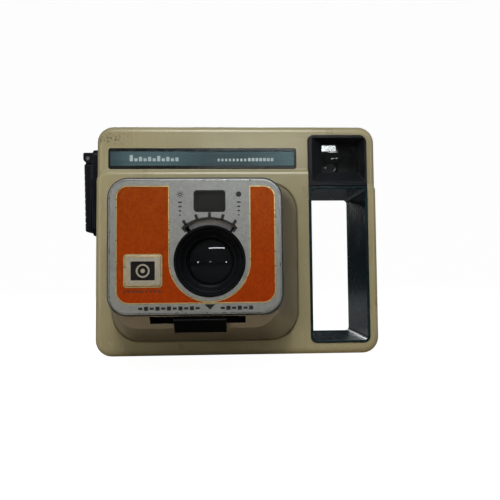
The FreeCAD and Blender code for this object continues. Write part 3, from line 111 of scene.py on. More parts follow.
def clear_selection():
    if bpy.context.object and bpy.context.object.mode != "OBJECT":
        bpy.ops.object.mode_set(mode="OBJECT")
    bpy.ops.object.select_all(action="DESELECT")


def light(name, place, target, width, height, power, colour):
    lamp = bpy.data.lights.new(name, "AREA")
    lamp.shape, lamp.size, lamp.size_y = "RECTANGLE", width, height
    lamp.energy, lamp.color = power, colour
    holder = bpy.data.objects.new(name, lamp)
    scene.collection.objects.link(holder)
    away = Vector(place) - Vector(target)
    holder.matrix_world = Matrix.Translation(place) @ away.to_track_quat("Z", "Y").to_matrix().to_4x4()
    return holder


clear_selection()
bpy.ops.mesh.primitive_plane_add(size=8.0, location=(0, 0, cad_box[0][2]))
table = bpy.context.object
table.name = "table"
bpy.ops.object.mode_set(mode="EDIT")
bpy.ops.mesh.select_all(action="DESELECT")
bpy.ops.object.mode_set(mode="OBJECT")
for edge in table.data.edges:
    edge.select = all(table.data.vertices[i].co.y > 0 for i in edge.vertices)
bpy.ops.object.mode_set(mode="EDIT")
bpy.ops.mesh.extrude_region_move(TRANSFORM_OT_translate={"value": (0, 0, 4.0)})
bpy.ops.mesh.select_all(action="DESELECT")
bpy.ops.object.mode_set(mode="OBJECT")
for edge in table.data.edges:
    ends = [table.data.vertices[i].co for i in edge.vertices]
    edge.select = all(p.y > 0 and p.z < 0.1 for p in ends)
bpy.ops.object.mode_set(mode="EDIT")
bpy.ops.mesh.bevel(offset=2.4, segments=24)
bpy.ops.object.mode_set(mode="OBJECT")
bpy.ops.object.transform_apply(location=True)
bpy.ops.object.shade_smooth()
paper, tree, shader = start_material("pale_paper", Roughness=0.8)
seen = add(tree, "LightPath").outputs["Is Camera Ray"]
fibre = add(tree, "TexNoise", {"Scale": 60.0, "Detail": 3.0}).outputs["Fac"]
pale = tint(tree, ramp(tree, fibre, 0.35, 0.65), (0.10, 0.10, 0.10, 1), (0.12, 0.12, 0.12, 1))
bounced = add(tree, "LightPath").outputs["Is Diffuse Ray"]
unseen = tint(tree, bounced, (0.05, 0.06, 0.065, 1), (0.78, 0.62, 0.44, 1))
tree.links.new(tint(tree, seen, unseen, pale), shader.inputs["Base Color"])
shader.inputs["Emission Color"].default_value = (1, 1, 1, 1)
tree.links.new(calc(tree, "MULTIPLY", seen, 0.97), shader.inputs["Emission Strength"])
table.data.materials.append(paper)

light("key", (0.0, -0.50, 0.60), (0.0, -0.03, 0.08), 0.34, 0.20, 3.35, (1.0, 0.985, 0.93))
light("window bar", (0.06, -0.54, 0.27), (-0.01, -0.06, 0.08), 0.24, 0.016, 0.22, (0.95, 1.0, 1.0))
light("left strip", (-0.45, -0.35, 0.16), (-0.09, -0.02, 0.07), 0.03, 0.34, 0.30, (1.0, 0.96, 0.9))
light("right strip", (0.50, -0.30, 0.22), (0.09, -0.02, 0.09), 0.03, 0.34, 0.28, (1.0, 0.99, 0.97))
low_card = light("low card", (-0.26, -0.36, 0.015), (-0.03, -0.07, 0.02), 0.22, 0.04, 0.24, (1.0, 0.92, 0.80))
low_card.visible_glossy = False
light("back fill", (-0.15, 0.75, 0.42), (0.0, 0.02, 0.07), 0.50, 0.30, 3.6, (0.98, 0.99, 1.0))

room = bpy.data.worlds.new("room")
scene.world = room
room.use_nodes = True
tree = room.node_tree
seen = add(tree, "LightPath").outputs["Is Camera Ray"]
height = add(tree, "SeparateXYZ", {"Vector": add(tree, "TexCoord").outputs["Generated"]}).outputs["Z"]
dim = tint(tree, ramp(tree, height, -0.3, 0.9), (0.03, 0.025, 0.018, 1), (0.13, 0.14, 0.15, 1))
tree.links.new(tint(tree, seen, dim, (0.92, 0.92, 0.92, 1)), tree.nodes["Background"].inputs["Color"])


# ---- body mouldings ----
# Front shell, tapered lens housing and battery cover, injection moulded in tan
# plastic with a fine metallic flake; the front shell carries scuffs and rubbed edges.
def start_group(name, inputs, outputs):
    """An empty shader node group with number inputs; gives its tree, inputs and outputs."""
    tree = bpy.data.node_groups.new(name, "ShaderNodeTree")
    for socket, value in inputs.items():
        made = tree.interface.new_socket(name=socket, in_out="INPUT", socket_type="NodeSocketFloat")
        made.default_value = value
    for socket in outputs:
        tree.interface.new_socket(name=socket, in_out="OUTPUT", socket_type="NodeSocketFloat")
    return tree, tree.nodes.new("NodeGroupInput").outputs, tree.nodes.new("NodeGroupOutput").inputs


def place_group(tree, group, **values):
    made = tree.nodes.new("ShaderNodeGroup")
    made.node_tree = group
    for socket, value in values.items():
        made.inputs[socket].default_value = value
    return made.outputs


skin, inside, outside = start_group("moulded_skin", {"Grain": 2600.0, "Height": 1.0},
                                    ("Height", "Cloud", "Flake"))
here = add(skin, "TexCoord").outputs["Object"]
fine = add(skin, "TexNoise", {"Vector": here, "Scale": inside["Grain"], "Detail": 4.0}).outputs["Fac"]
wave = add(skin, "TexNoise", {"Vector": here, "Scale": 38.0, "Detail": 2.0}).outputs["Fac"]
cell = add(skin, "TexVoronoi", {"Vector": here, "Scale": 3600.0}).outputs["Distance"]
skin.links.new(calc(skin, "MULTIPLY", fine, inside["Height"]), outside["Height"])
skin.links.new(ramp(skin, wave, 0.3, 0.7), outside["Cloud"])
skin.links.new(ramp(skin, cell, 0.18, 0.02), outside["Flake"])

wear, inside, outside = start_group("handling_wear", {"Amount": 1.0, "Edge Radius": 0.0012},
                                    ("Scratch", "Speck", "Edge"))
here = add(wear, "TexCoord").outputs["Object"]
cloud = add(wear, "TexNoise", {"Vector": here, "Scale": 26.0, "Detail": 1.0}).outputs["Fac"]
patch = ramp(wear, cloud, 0.5, 0.62)
scratch = 0.0
for angle, spread in ((0.5, 320.0), (-0.9, 410.0), (1.4, 260.0)):
    laid = add(wear, "Mapping", {"Vector": here, "Rotation": (angle, angle * 0.7, angle * 1.3),
                                 "Scale": (1.0, 1.0, 0.035)}).outputs["Vector"]
    line = add(wear, "TexNoise", {"Vector": laid, "Scale": spread, "Detail": 1.0}).outputs["Fac"]
    thin = ramp(wear, calc(wear, "ABSOLUTE", calc(wear, "SUBTRACT", line, 0.5)), 0.006, 0.0)
    scratch = calc(wear, "MAXIMUM", scratch, thin)
dots = add(wear, "TexNoise", {"Vector": here, "Scale": 900.0, "Detail": 1.0}).outputs["Fac"]
scratch = calc(wear, "MULTIPLY", scratch, patch)
wear.links.new(calc(wear, "MULTIPLY", scratch, inside["Amount"]), outside["Scratch"])
wear.links.new(calc(wear, "MULTIPLY", ramp(wear, dots, 0.74, 0.8), inside["Amount"]), outside["Speck"])
round_normal = add(wear, "Bevel", {"Radius": inside["Edge Radius"]}, samples=4).outputs["Normal"]
flat_normal = add(wear, "NewGeometry").outputs["Normal"]
match = add(wear, "VectorMath", {0: round_normal, 1: flat_normal}, operation="DOT_PRODUCT").outputs["Value"]
rub = add(wear, "TexNoise", {"Vector": here, "Scale": 170.0, "Detail": 3.0}).outputs["Fac"]
edge = calc(wear, "MULTIPLY", ramp(wear, match, 0.985, 0.86), ramp(wear, rub, 0.38, 0.62))
wear.links.new(calc(wear, "MULTIPLY", edge, inside["Amount"]), outside["Edge"])


def moulding(name, light_tone, dark_tone, rubbed_tone, gloss, grain=2600.0, grain_height=1.0,
             wear_amount=1.0, flake=0.0, **values):
    """A moulded plastic: cloudy tone, fine grain, flake, scratches, specks and rubbed edges."""
    material, tree, shader = start_material(name, **values)
    skin_out = place_group(tree, skin, Grain=grain, Height=grain_height)
    wear_out = place_group(tree, wear, Amount=wear_amount)
    tone = tint(tree, skin_out["Cloud"], (*dark_tone, 1), (*light_tone, 1))
    if flake:
        bright = tuple(min(1.0, 1.9 * c) for c in light_tone)
        tone = tint(tree, calc(tree, "MULTIPLY", skin_out["Flake"], flake), tone, (*bright, 1))
    tone = tint(tree, calc(tree, "MULTIPLY", wear_out["Edge"], 0.35), tone, (*rubbed_tone, 1))
    tone = tint(tree, calc(tree, "MULTIPLY", wear_out["Scratch"], 0.35), tone, (*rubbed_tone, 1))
    dirt = tuple(0.3 * c for c in dark_tone)
    tone = tint(tree, calc(tree, "MULTIPLY", wear_out["Speck"], 0.5), tone, (*dirt, 1))
    tree.links.new(tone, shader.inputs["Base Color"])
    rough = calc(tree, "ADD", ramp(tree, skin_out["Cloud"], 0.0, 1.0, gloss - 0.03, gloss + 0.03),
                 calc(tree, "MULTIPLY", calc(tree, "MAXIMUM", wear_out["Scratch"], wear_out["Edge"]), 0.18))
    tree.links.new(rough, shader.inputs["Roughness"])
    raised = calc(tree, "SUBTRACT", skin_out["Height"], calc(tree, "MULTIPLY", wear_out["Scratch"], 0.6))
    bump = add(tree, "Bump", {"Strength": 0.35, "Distance": 0.00006, "Height": raised})
    tree.links.new(bump.outputs["Normal"], shader.inputs["Normal"])
    return material, tree, shader, tone


def finish_nodes(material, *names):
    for name in names:
        for place in nodes[name].material_slots:
            place.material = material


tan = dict(light_tone=(0.300, 0.276, 0.168), dark_tone=(0.272, 0.248, 0.148), rubbed_tone=(0.46, 0.43, 0.33))
tan_shell, tree, shader, tone = moulding("tan_shell", gloss=0.30, flake=0.35, Coat_Weight=0.16,
                                         Coat_Roughness=0.16, **tan)
here = add(tree, "TexCoord").outputs["Object"]
low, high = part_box("front_shell")
corner = (low.x + 0.0075, low.y + 0.0025, high.z - 0.0085)
away = add(tree, "VectorMath", {0: here, 1: corner}, operation="SUBTRACT").outputs["Vector"]
flat = add(tree, "VectorMath", {0: away, 1: (0.35, 0.4, 1.0)}, operation="MULTIPLY").outputs["Vector"]
near = ramp(tree, add(tree, "VectorMath", {0: flat}, operation="LENGTH").outputs["Value"], 0.0060, 0.0015)
chips = add(tree, "TexNoise", {"Vector": here, "Scale": 780.0, "Detail": 4.0,
                               "Roughness": 0.62}).outputs["Fac"]
scuff = calc(tree, "MULTIPLY", ramp(tree, chips, 0.54, 0.60), near)
tree.links.new(tint(tree, calc(tree, "MULTIPLY", scuff, 0.85), tone, (0.035, 0.033, 0.03, 1)),
               shader.inputs["Base Color"])
finish_nodes(tan_shell, "front_shell")

housing_tan, *_ = moulding("housing_tan", light_tone=(0.172, 0.155, 0.122), dark_tone=(0.150, 0.134, 0.104),
                           rubbed_tone=(0.36, 0.33, 0.27), gloss=0.36, flake=0.25, Coat_Weight=0.12,
                           Coat_Roughness=0.2)
finish_nodes(housing_tan, "lens_housing", "battery_cover")

black_shell, *_ = moulding("black_shell", light_tone=(0.022, 0.023, 0.025), dark_tone=(0.016, 0.0165, 0.018),
                           rubbed_tone=(0.075, 0.075, 0.078), gloss=0.46, grain=1500.0, grain_height=2.6,
                           Specular_IOR_Level=0.3)
finish_nodes(black_shell, "rear_shell", "film_door", "plate_carrier")


# ---- face plate ----
# Thin anodised aluminium panel with a soft satin grain and a polished rolled edge,
# held to the housing by its black carrier.
grainy, inside, outside = start_group("metal_grain", {"Across X": 90.0, "Across Y": 900.0, "Across Z": 900.0},
                                      ("Line", "Mottle"))
here = add(grainy, "TexCoord").outputs["Object"]
spread = add(grainy, "CombineXYZ", {"X": inside["Across X"], "Y": inside["Across Y"],
                                    "Z": inside["Across Z"]}).outputs["Vector"]
laid = add(grainy, "VectorMath", {0: here, 1: spread}, operation="MULTIPLY").outputs["Vector"]
line = add(grainy, "TexNoise", {"Vector": laid, "Scale": 1.0, "Detail": 3.0}).outputs["Fac"]
mottle = add(grainy, "TexNoise", {"Vector": here, "Scale": 620.0, "Detail": 3.0,
                                  "Roughness": 0.7}).outputs["Fac"]
grainy.links.new(line, outside["Line"])
grainy.links.new(ramp(grainy, mottle, 0.32, 0.68), outside["Mottle"])


def metal(name, light_tone, dark_tone, gloss, across=(90.0, 900.0, 900.0), edge_tone=None,
          mottled=0.5, wear_amount=0.6, metallic=1.0, **values):
    """A metal face: directional grain, fine mottle, scratches and brighter rubbed edges."""
    material, tree, shader = start_material(name, Metallic=metallic, **values)
    spread = {"Across " + axis: value for axis, value in zip("XYZ", across)}
    grain_out = place_group(tree, grainy, **spread)
    wear_out = place_group(tree, wear, Amount=wear_amount)
    mix = tint(tree, calc(tree, "ADD", calc(tree, "MULTIPLY", grain_out["Mottle"], mottled),
                          calc(tree, "MULTIPLY", grain_out["Line"], 1.0 - mottled)),
               (*dark_tone, 1), (*light_tone, 1))
    bright = edge_tone or tuple(min(1.0, 1.25 * c) for c in light_tone)
    mix = tint(tree, calc(tree, "MULTIPLY", wear_out["Edge"], 0.8), mix, (*bright, 1))
    mix = tint(tree, calc(tree, "MULTIPLY", wear_out["Scratch"], 0.3), mix, (*bright, 1))
    tree.links.new(mix, shader.inputs["Base Color"])
    rough = ramp(tree, grain_out["Line"], 0.3, 0.7, gloss - 0.05, gloss + 0.07)
    tree.links.new(rough, shader.inputs["Roughness"])
    raised = calc(tree, "ADD", grain_out["Line"], calc(tree, "MULTIPLY", grain_out["Mottle"], 0.5))
    bump = add(tree, "Bump", {"Strength": 0.25, "Distance": 0.00003, "Height": raised})
    tree.links.new(bump.outputs["Normal"], shader.inputs["Normal"])
    return material, tree, shader, mix


satin_plate, *_ = metal("satin_plate", (0.37, 0.39, 0.39), (0.24, 0.25, 0.26), 0.46,
                        across=(420.0, 700.0, 420.0), metallic=0.6)
finish_nodes(satin_plate, "face_plate")
plate_low, plate_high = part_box("face_plate")


# ---- orange panel and its gold line ----
# Transparent orange print over grained foil, let into the plate; a raised gold bead
# runs round its border and round the badge.
orange_foil, tree, shader, tone = metal("orange_foil", (0.54, 0.082, 0.002), (0.33, 0.040, 0.001), 0.38,
                                        across=(600.0, 600.0, 150.0), mottled=0.6, wear_amount=0.15,
                                        metallic=0.55, Coat_Weight=0.1, Coat_Roughness=0.2,
                                        Specular_IOR_Level=0.25)
# Painted light: the orange is tinted brighter and warmer towards the bottom and darker and cooler towards the
# top.
rise = add(tree, "SeparateXYZ", {"Vector": add(tree, "TexCoord").outputs["Object"]}).outputs["Z"]
low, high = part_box("orange_inlay")
painted_light_tint = tint(tree, ramp(tree, rise, low.z, high.z, 0.0, 1.0), (1.0, 0.80, 0.7, 1), (0.78, 0.90, 1.0, 1))
tree.links.new(tint(tree, 1.0, tone, painted_light_tint, "MULTIPLY"), shader.inputs["Base Color"])
finish_nodes(orange_foil, "orange_inlay")


def own_copy(name, node):
    """A free piece with the same mesh as a CAD node, its doubled points merged."""
    clear_selection()
    piece = bpy.data.objects.new(name, nodes[node].data.copy())
    scene.collection.objects.link(piece)
    piece.data.materials.clear()
    bpy.context.view_layer.objects.active = piece
    piece.select_set(True)
    bpy.ops.object.mode_set(mode="EDIT")
    bpy.ops.mesh.select_all(action="SELECT")
    bpy.ops.mesh.remove_doubles(threshold=1e-6)
    bpy.ops.mesh.select_all(action="DESELECT")
    bpy.ops.object.mode_set(mode="OBJECT")
    return piece


def pick_faces(piece, test):
    """Selects the faces that pass a test and leaves the piece in edit mode."""
    bpy.ops.object.mode_set(mode="EDIT")
    bpy.ops.mesh.select_mode(type="FACE")
    bpy.ops.mesh.select_all(action="DESELECT")
    bpy.ops.object.mode_set(mode="OBJECT")
    for face in piece.data.polygons:
        face.select = bool(test(face))
    bpy.ops.object.mode_set(mode="EDIT")


def close_piece(piece, material, body, smooth=30.0):
    """Makes the faces point outwards, gives the finish and hangs the piece on its body."""
    if bpy.context.object.mode != "EDIT":
        bpy.ops.object.mode_set(mode="EDIT")
    bpy.ops.mesh.select_all(action="SELECT")
    bpy.ops.mesh.remove_doubles(threshold=1e-6)
    bpy.ops.mesh.normals_make_consistent(inside=False)
    bpy.ops.object.mode_set(mode="OBJECT")
    bpy.ops.object.shade_smooth_by_angle(angle=radians(smooth))
    piece.data.materials.clear()
    piece.data.materials.append(material)
    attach(piece, body)


bead_width, bead_height = 0.00062, 0.00022
gold_bead, *_ = metal("gold_bead", (1.0, 0.80, 0.42), (0.85, 0.62, 0.27), 0.30, metallic=0.8)
bead = own_copy("panel_bead", "orange_inlay")
pick_faces(bead, lambda face: face.normal.y > -0.9)
bpy.ops.mesh.delete(type="FACE")
bpy.ops.mesh.select_all(action="SELECT")
bpy.ops.mesh.inset(thickness=bead_width, depth=0.0)
bpy.ops.mesh.delete(type="FACE")
bpy.ops.mesh.select_all(action="SELECT")
bpy.ops.mesh.extrude_region_move(TRANSFORM_OT_translate={"value": (0, -bead_height, 0)})
close_piece(bead, gold_bead, "housing")


# ---- badge ----
# Cast frame with a gilt lip and a black enamel field, which carries a plain round
# emblem, a ring and a dot; the plate's own bright rolled rim is made the same way.
def slab(name, x0, x1, z0, z1, y0, y1, corner=0.0):
    """A flat plate that faces the front, drawn as a plane, its corners rounded, then thickened."""
    clear_selection()
    bpy.ops.mesh.primitive_plane_add(size=1.0, rotation=(pi / 2, 0, 0),
                                     location=((x0 + x1) / 2, y0, (z0 + z1) / 2))
    piece = bpy.context.object
    piece.name = name
    piece.scale = (x1 - x0, z1 - z0, 1)
    bpy.ops.object.transform_apply(location=True, rotation=True, scale=True)
    bpy.ops.object.mode_set(mode="EDIT")
    bpy.ops.mesh.select_all(action="SELECT")
    if corner:
        bpy.ops.mesh.bevel(offset=corner, segments=4, affect="VERTICES")
        bpy.ops.mesh.select_all(action="SELECT")
    bpy.ops.mesh.extrude_region_move(TRANSFORM_OT_translate={"value": (0, y1 - y0, 0)})
    bpy.ops.object.mode_set(mode="OBJECT")
    return piece


def disc(name, x, z, radius, y0, y1, sides=48, hole=0.0):
    """A round plate or ring that faces the front, drawn as a circle, inset and thickened."""
    clear_selection()
    bpy.ops.mesh.primitive_circle_add(vertices=sides, radius=radius, fill_type="NGON",
                                      rotation=(pi / 2, 0, 0), location=(x, y0, z))
    piece = bpy.context.object
    piece.name = name
    bpy.ops.object.transform_apply(location=True, rotation=True, scale=True)
    bpy.ops.object.mode_set(mode="EDIT")
    bpy.ops.mesh.select_all(action="SELECT")
    if hole:
        bpy.ops.mesh.inset(thickness=radius - hole, depth=0.0)
        bpy.ops.mesh.delete(type="FACE")
        bpy.ops.mesh.select_all(action="SELECT")
    bpy.ops.mesh.extrude_region_move(TRANSFORM_OT_translate={"value": (0, y1 - y0, 0)})
    bpy.ops.object.mode_set(mode="OBJECT")
    return piece


def joined(name, made):
    """Joins like pieces into one."""
    clear_selection()
    for piece in made:
        piece.select_set(True)
    bpy.context.view_layer.objects.active = made[0]
    if len(made) > 1:
        bpy.ops.object.join()
    made[0].name = name
    return made[0]


def inner_sides(low, high, by):
    """Left, right, bottom and top of a front-facing box, drawn in by a distance."""
    return low.x + by, high.x - by, low.z + by, high.z - by


def border(name, sides, corner, width, y0, y1):
    """A flat frame with rounded corners: a slab's outline inset and opened, then thickened."""
    x0, x1, z0, z1 = sides
    piece = slab(name, x0, x1, z0, z1, y0, y1, corner)
    pick_faces(piece, lambda face: face.normal.y < 0.9 and face.normal.y > -0.9)
    bpy.ops.mesh.delete(type="FACE")
    pick_faces(piece, lambda face: face.center.y > (y0 + y1) / 2)
    bpy.ops.mesh.delete(type="FACE")
    bpy.ops.mesh.select_all(action="SELECT")
    bpy.ops.mesh.inset(thickness=width, depth=0.0)
    bpy.ops.mesh.delete(type="FACE")
    bpy.ops.mesh.select_all(action="SELECT")
    bpy.ops.mesh.extrude_region_move(TRANSFORM_OT_translate={"value": (0, y0 - y1, 0)})
    bpy.ops.mesh.select_all(action="SELECT")
    bpy.ops.mesh.normals_make_consistent(inside=False)
    bpy.ops.object.mode_set(mode="OBJECT")
    return piece


mm = 0.001
bright_edge, *_ = metal("bright_edge", (0.80, 0.82, 0.82), (0.62, 0.64, 0.64), 0.30,
                        across=(300.0, 300.0, 300.0))
rim = border("plate_rim", inner_sides(plate_low, plate_high, 0.5 * mm), 8.6 * mm, 0.45 * mm,
             plate_low.y + 0.05 * mm, plate_low.y - 0.06 * mm)
close_piece(rim, bright_edge, "housing")
cast_frame, *_ = metal("cast_frame", (0.62, 0.58, 0.50), (0.46, 0.43, 0.36), 0.42,
                       across=(500.0, 500.0, 500.0), edge_tone=(1.0, 0.78, 0.40), metallic=0.7)
finish_nodes(cast_frame, "badge_frame")
badge_low, badge_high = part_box("badge_frame")
badge_x = (badge_low.x + badge_high.x) / 2
badge_z = (badge_low.z + badge_high.z) / 2
field_y = badge_low.y + 0.40 * mm
enamel, *_ = moulding("black_enamel", light_tone=(0.012, 0.012, 0.013), dark_tone=(0.008, 0.008, 0.009),
                      rubbed_tone=(0.06, 0.06, 0.06), gloss=0.16, grain_height=0.3, wear_amount=0.5,
                      Specular_IOR_Level=0.3)
half_x, half_z = 5.75 * mm, 4.85 * mm
field = slab("badge_field", badge_x - half_x, badge_x + half_x, badge_z - half_z, badge_z + half_z,
             field_y, field_y - 0.16 * mm, 0.5 * mm)
close_piece(field, enamel, "housing")
lip = border("badge_lip", inner_sides(badge_low, badge_high, 0.25 * mm), 0.8 * mm, 0.5 * mm,
             badge_low.y + 0.05 * mm, badge_low.y - 0.06 * mm)
close_piece(lip, gold_bead, "housing")
emblem = joined("badge_emblem", [
    disc("ring", badge_x, badge_z, 3.3 * mm, field_y - 0.14 * mm, field_y - 0.24 * mm, hole=2.5 * mm),
    disc("dot", badge_x, badge_z, 1.05 * mm, field_y - 0.14 * mm, field_y - 0.24 * mm, sides=24)])
close_piece(emblem, cast_frame, "housing")


# ---- printed marks on the plate ----
# Black screen-printed scale round the lens, pointer over the slider, rows of plain
# dashes and a sun and a moon for lighter and darker; each mark is a thin film of ink.
def swing(piece, angle, x, z):
    """Turns a flat piece about the front-to-back line through a point, clockwise from the front."""
    place = Matrix.Translation((x, 0, z))
    piece.data.transform(place @ Matrix.Rotation(angle, 4, "Y") @ place.inverted())
    return piece


ink, *_ = moulding("black_ink", light_tone=(0.008, 0.008, 0.008), dark_tone=(0.005, 0.005, 0.005),
                   rubbed_tone=(0.12, 0.12, 0.12), gloss=0.45, grain_height=0.5, wear_amount=0.5)
cup_low, cup_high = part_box("lens_cup")
lens_x = (cup_low.x + cup_high.x) / 2
cup_front_z = [v.co.z for v in nodes["lens_cup"].data.vertices if v.co.y < cup_low.y + 1 * mm]
lens_z = (min(cup_front_z) + max(cup_front_z)) / 2
front, back = plate_low.y - 0.05 * mm, plate_low.y + 0.03 * mm

ticks = []
tick_half = 0.72 * mm
for degrees in (-33.0, -16.6, 0.0, 16.6, 33.0):
    mark = slab("tick", lens_x - tick_half, lens_x + tick_half, lens_z + 20.9 * mm, lens_z + 23.7 * mm,
                back, front, 0.3 * mm)
    ticks.append(swing(mark, radians(degrees), lens_x, lens_z))
arc = disc("arc", lens_x, lens_z, 21.45 * mm, back, front, sides=144, hole=20.4 * mm)
arc_half = radians(38.5)
pick_faces(arc, lambda face: abs(atan2(face.center.x - lens_x, face.center.z - lens_z)) > arc_half)
bpy.ops.mesh.delete(type="FACE")
bpy.ops.mesh.select_all(action="SELECT")
bpy.ops.mesh.fill_holes(sides=4)
bpy.ops.object.mode_set(mode="OBJECT")
ticks.append(arc)
for side in (-1, 1):
    foot = slab("foot", lens_x - 0.6 * mm, lens_x + 0.6 * mm, lens_z + 18.2 * mm, lens_z + 21.2 * mm,
                back, front, 0.1 * mm)
    ticks.append(swing(foot, side * radians(38.8), lens_x, lens_z))
close_piece(joined("scale_marks", ticks), ink, "housing")

clear_selection()
bpy.ops.mesh.primitive_circle_add(vertices=3, radius=1.0 * mm, fill_type="NGON", rotation=(pi / 2, 0, 0),
                                  location=(lens_x, back, plate_low.z + 3.75 * mm))
pointer = bpy.context.object
pointer.name = "pointer"
bpy.ops.object.transform_apply(location=True, rotation=True, scale=True)
for vertex, (x, z) in zip(pointer.data.vertices, ((0.0, -1.35), (2.6, 1.25), (-2.6, 1.25))):
    vertex.co = (lens_x + x * mm, back, plate_low.z + 3.55 * mm + z * mm)
bpy.ops.object.mode_set(mode="EDIT")
bpy.ops.mesh.select_all(action="SELECT")
bpy.ops.mesh.extrude_region_move(TRANSFORM_OT_translate={"value": (0, front - back, 0)})
close_piece(pointer, ink, "housing")

dashes = []
row = plate_low.z + 3.0 * mm
for start, count, width, gap in ((-49.0, 11, 1.95, 0.8), (-9.4, 6, 1.95, 0.8)):
    for i in range(count):
        x = (start + i * (width + gap)) * mm
        tall = (0.95 if i % 2 else 0.55) * mm
        dashes.append(slab("dash", x, x + width * mm, row - tall, row + tall, back, front, 0.15 * mm))
ladder = lens_z + 22.0 * mm
for side, column in ((-1, lens_x - 14.3 * mm), (1, lens_x + 14.3 * mm)):
    for i in range(4):
        z = ladder + (0.4 + 2.1 * i) * mm
        half = (0.35 + 0.2 * i) * mm
        dashes.append(slab("rung", column - half, column + half, z - 0.35 * mm, z + 0.35 * mm,
                           back, front, 0.1 * mm))
    top = ladder + 10.6 * mm
    if side < 0:
        dashes.append(disc("sun", column, top, 0.85 * mm, back, front, sides=24, hole=0.45 * mm))
        for i in range(8):
            ray = slab("ray", column - 0.14 * mm, column + 0.14 * mm, top + 1.1 * mm, top + 1.75 * mm,
                       back, front)
            dashes.append(swing(ray, i * pi / 4, column, top))
    else:
        dashes.append(disc("moon", column, top, 1.35 * mm, back, front, sides=24))
close_piece(joined("plate_dashes", dashes), ink, "housing")

foil_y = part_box("orange_inlay")[0].y
dark_red, *_ = moulding("dark_red_ink", light_tone=(0.115, 0.028, 0.008), dark_tone=(0.080, 0.018, 0.006),
                        rubbed_tone=(0.25, 0.09, 0.03), gloss=0.4, grain_height=0.5, wear_amount=0.4)
small = []
for i in range(9):
    x = badge_low.x - 0.9 * mm + i * 2.1 * mm
    small.append(slab("dash", x, x + 1.35 * mm, badge_low.z - 3.1 * mm, badge_low.z - 1.9 * mm,
                      foil_y + 0.02 * mm, foil_y - 0.05 * mm, 0.15 * mm))
close_piece(joined("panel_dashes", small), dark_red, "housing")


# ---- lens, shutter and light meter ----
# Stepped black cup with a coated front glass in which two small white discs stand as painted
# glints, the ring with its sector that turns with the slider, and a smoked meter window.
cup_black, *_ = moulding("cup_black", light_tone=(0.006, 0.007, 0.009), dark_tone=(0.004, 0.005, 0.006),
                         rubbed_tone=(0.03, 0.034, 0.038), gloss=0.24, grain=1800.0, grain_height=0.5,
                         wear_amount=0.3, Specular_IOR_Level=0.05)
finish_nodes(cup_black, "lens_cup")


def glass(name, clear, deep, gloss, through, **values):
    """Clear or smoked moulded glass with faint sleeks and dust in its surface."""
    material, tree, shader = start_material(name, Transmission_Weight=through, IOR=1.5, **values)
    skin_out = place_group(tree, skin, Grain=500.0, Height=0.3)
    wear_out = place_group(tree, wear, Amount=0.5)
    tree.links.new(tint(tree, skin_out["Cloud"], (*deep, 1), (*clear, 1)), shader.inputs["Base Color"])
    tree.links.new(calc(tree, "ADD", gloss, calc(tree, "MULTIPLY", wear_out["Scratch"], 0.1)),
                   shader.inputs["Roughness"])
    bump = add(tree, "Bump", {"Strength": 0.06, "Distance": 0.00004, "Height": skin_out["Height"]})
    tree.links.new(bump.outputs["Normal"], shader.inputs["Normal"])
    return material


coated = glass("coated_glass", (0.006, 0.007, 0.009), (0.003, 0.004, 0.005), 0.015, 0.1, Coat_Weight=0.5,
               Coat_Roughness=0.01, Specular_IOR_Level=0.2)
finish_nodes(coated, "lens_glass")
glass_low, glass_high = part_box("lens_glass")
# The two small white discs set through the front glass are painted glints that stand for lamp reflections.
painted_glints = []
for across, sag in ((-6.1, 0.56), (7.9, 0.94)):
    glint_depth = glass_low.y + sag * mm
    painted_glints.append(disc("glint_disc", lens_x + across * mm, lens_z - 0.4 * mm, 0.36 * mm, glint_depth + 0.6 * mm,
                      glint_depth - 0.12 * mm, sides=20))
# Near-white paint for the painted glint discs.
painted_glint_white, *_ = moulding("painted_glint_white", light_tone=(0.90, 0.90, 0.86), dark_tone=(0.80, 0.80, 0.76),
                           rubbed_tone=(0.95, 0.95, 0.92), gloss=0.3, wear_amount=0.2)
close_piece(joined("painted_glint_spots", painted_glints), painted_glint_white, "housing")
clear_pane = glass("clear_pane", (0.93, 0.95, 0.95), (0.88, 0.91, 0.92), 0.01, 1.0)
finish_nodes(clear_pane, "finder_front_lens", "eyepiece_lens")
smoked = glass("smoked_pane", (0.030, 0.033, 0.032), (0.018, 0.020, 0.020), 0.10, 0.25, Coat_Weight=0.5,
               Coat_Roughness=0.1)
finish_nodes(smoked, "meter_glass", "counter_window")

ring_matt, *_ = moulding("ring_matt", light_tone=(0.016, 0.016, 0.017), dark_tone=(0.011, 0.011, 0.012),
                         rubbed_tone=(0.06, 0.06, 0.06), gloss=0.55, Specular_IOR_Level=0.3)
finish_nodes(ring_matt, "exposure_ring")
sector_metal, *_ = metal("sector_metal", (0.42, 0.42, 0.44), (0.30, 0.30, 0.32), 0.42,
                         across=(500.0, 500.0, 500.0), metallic=0.4)
finish_nodes(sector_metal, "exposure_sector")
steel, *_ = metal("pressed_steel", (0.46, 0.46, 0.47), (0.32, 0.32, 0.33), 0.34, across=(80.0, 900.0, 900.0))
finish_nodes(steel, "shutter_plate", "roller_frame", "pressure_spring", "gear_plate", "film_pick",
             "pack_springs")
blade_black, *_ = metal("blade_black", (0.045, 0.047, 0.052), (0.025, 0.026, 0.030), 0.42, metallic=0.6)
finish_nodes(blade_black, "shutter_blade_left", "shutter_blade_right")


# ---- exposure slider ----
# Black moulded tab that runs in the slot under the plate; five fine ribs on its face
# give the finger a grip.
control_black, *_ = moulding("control_black", light_tone=(0.0025, 0.0025, 0.003),
                             dark_tone=(0.0015, 0.0015, 0.002), rubbed_tone=(0.03, 0.028, 0.026),
                             gloss=0.34, grain=2200.0, Specular_IOR_Level=0.1)
finish_nodes(control_black, "exposure_slider")


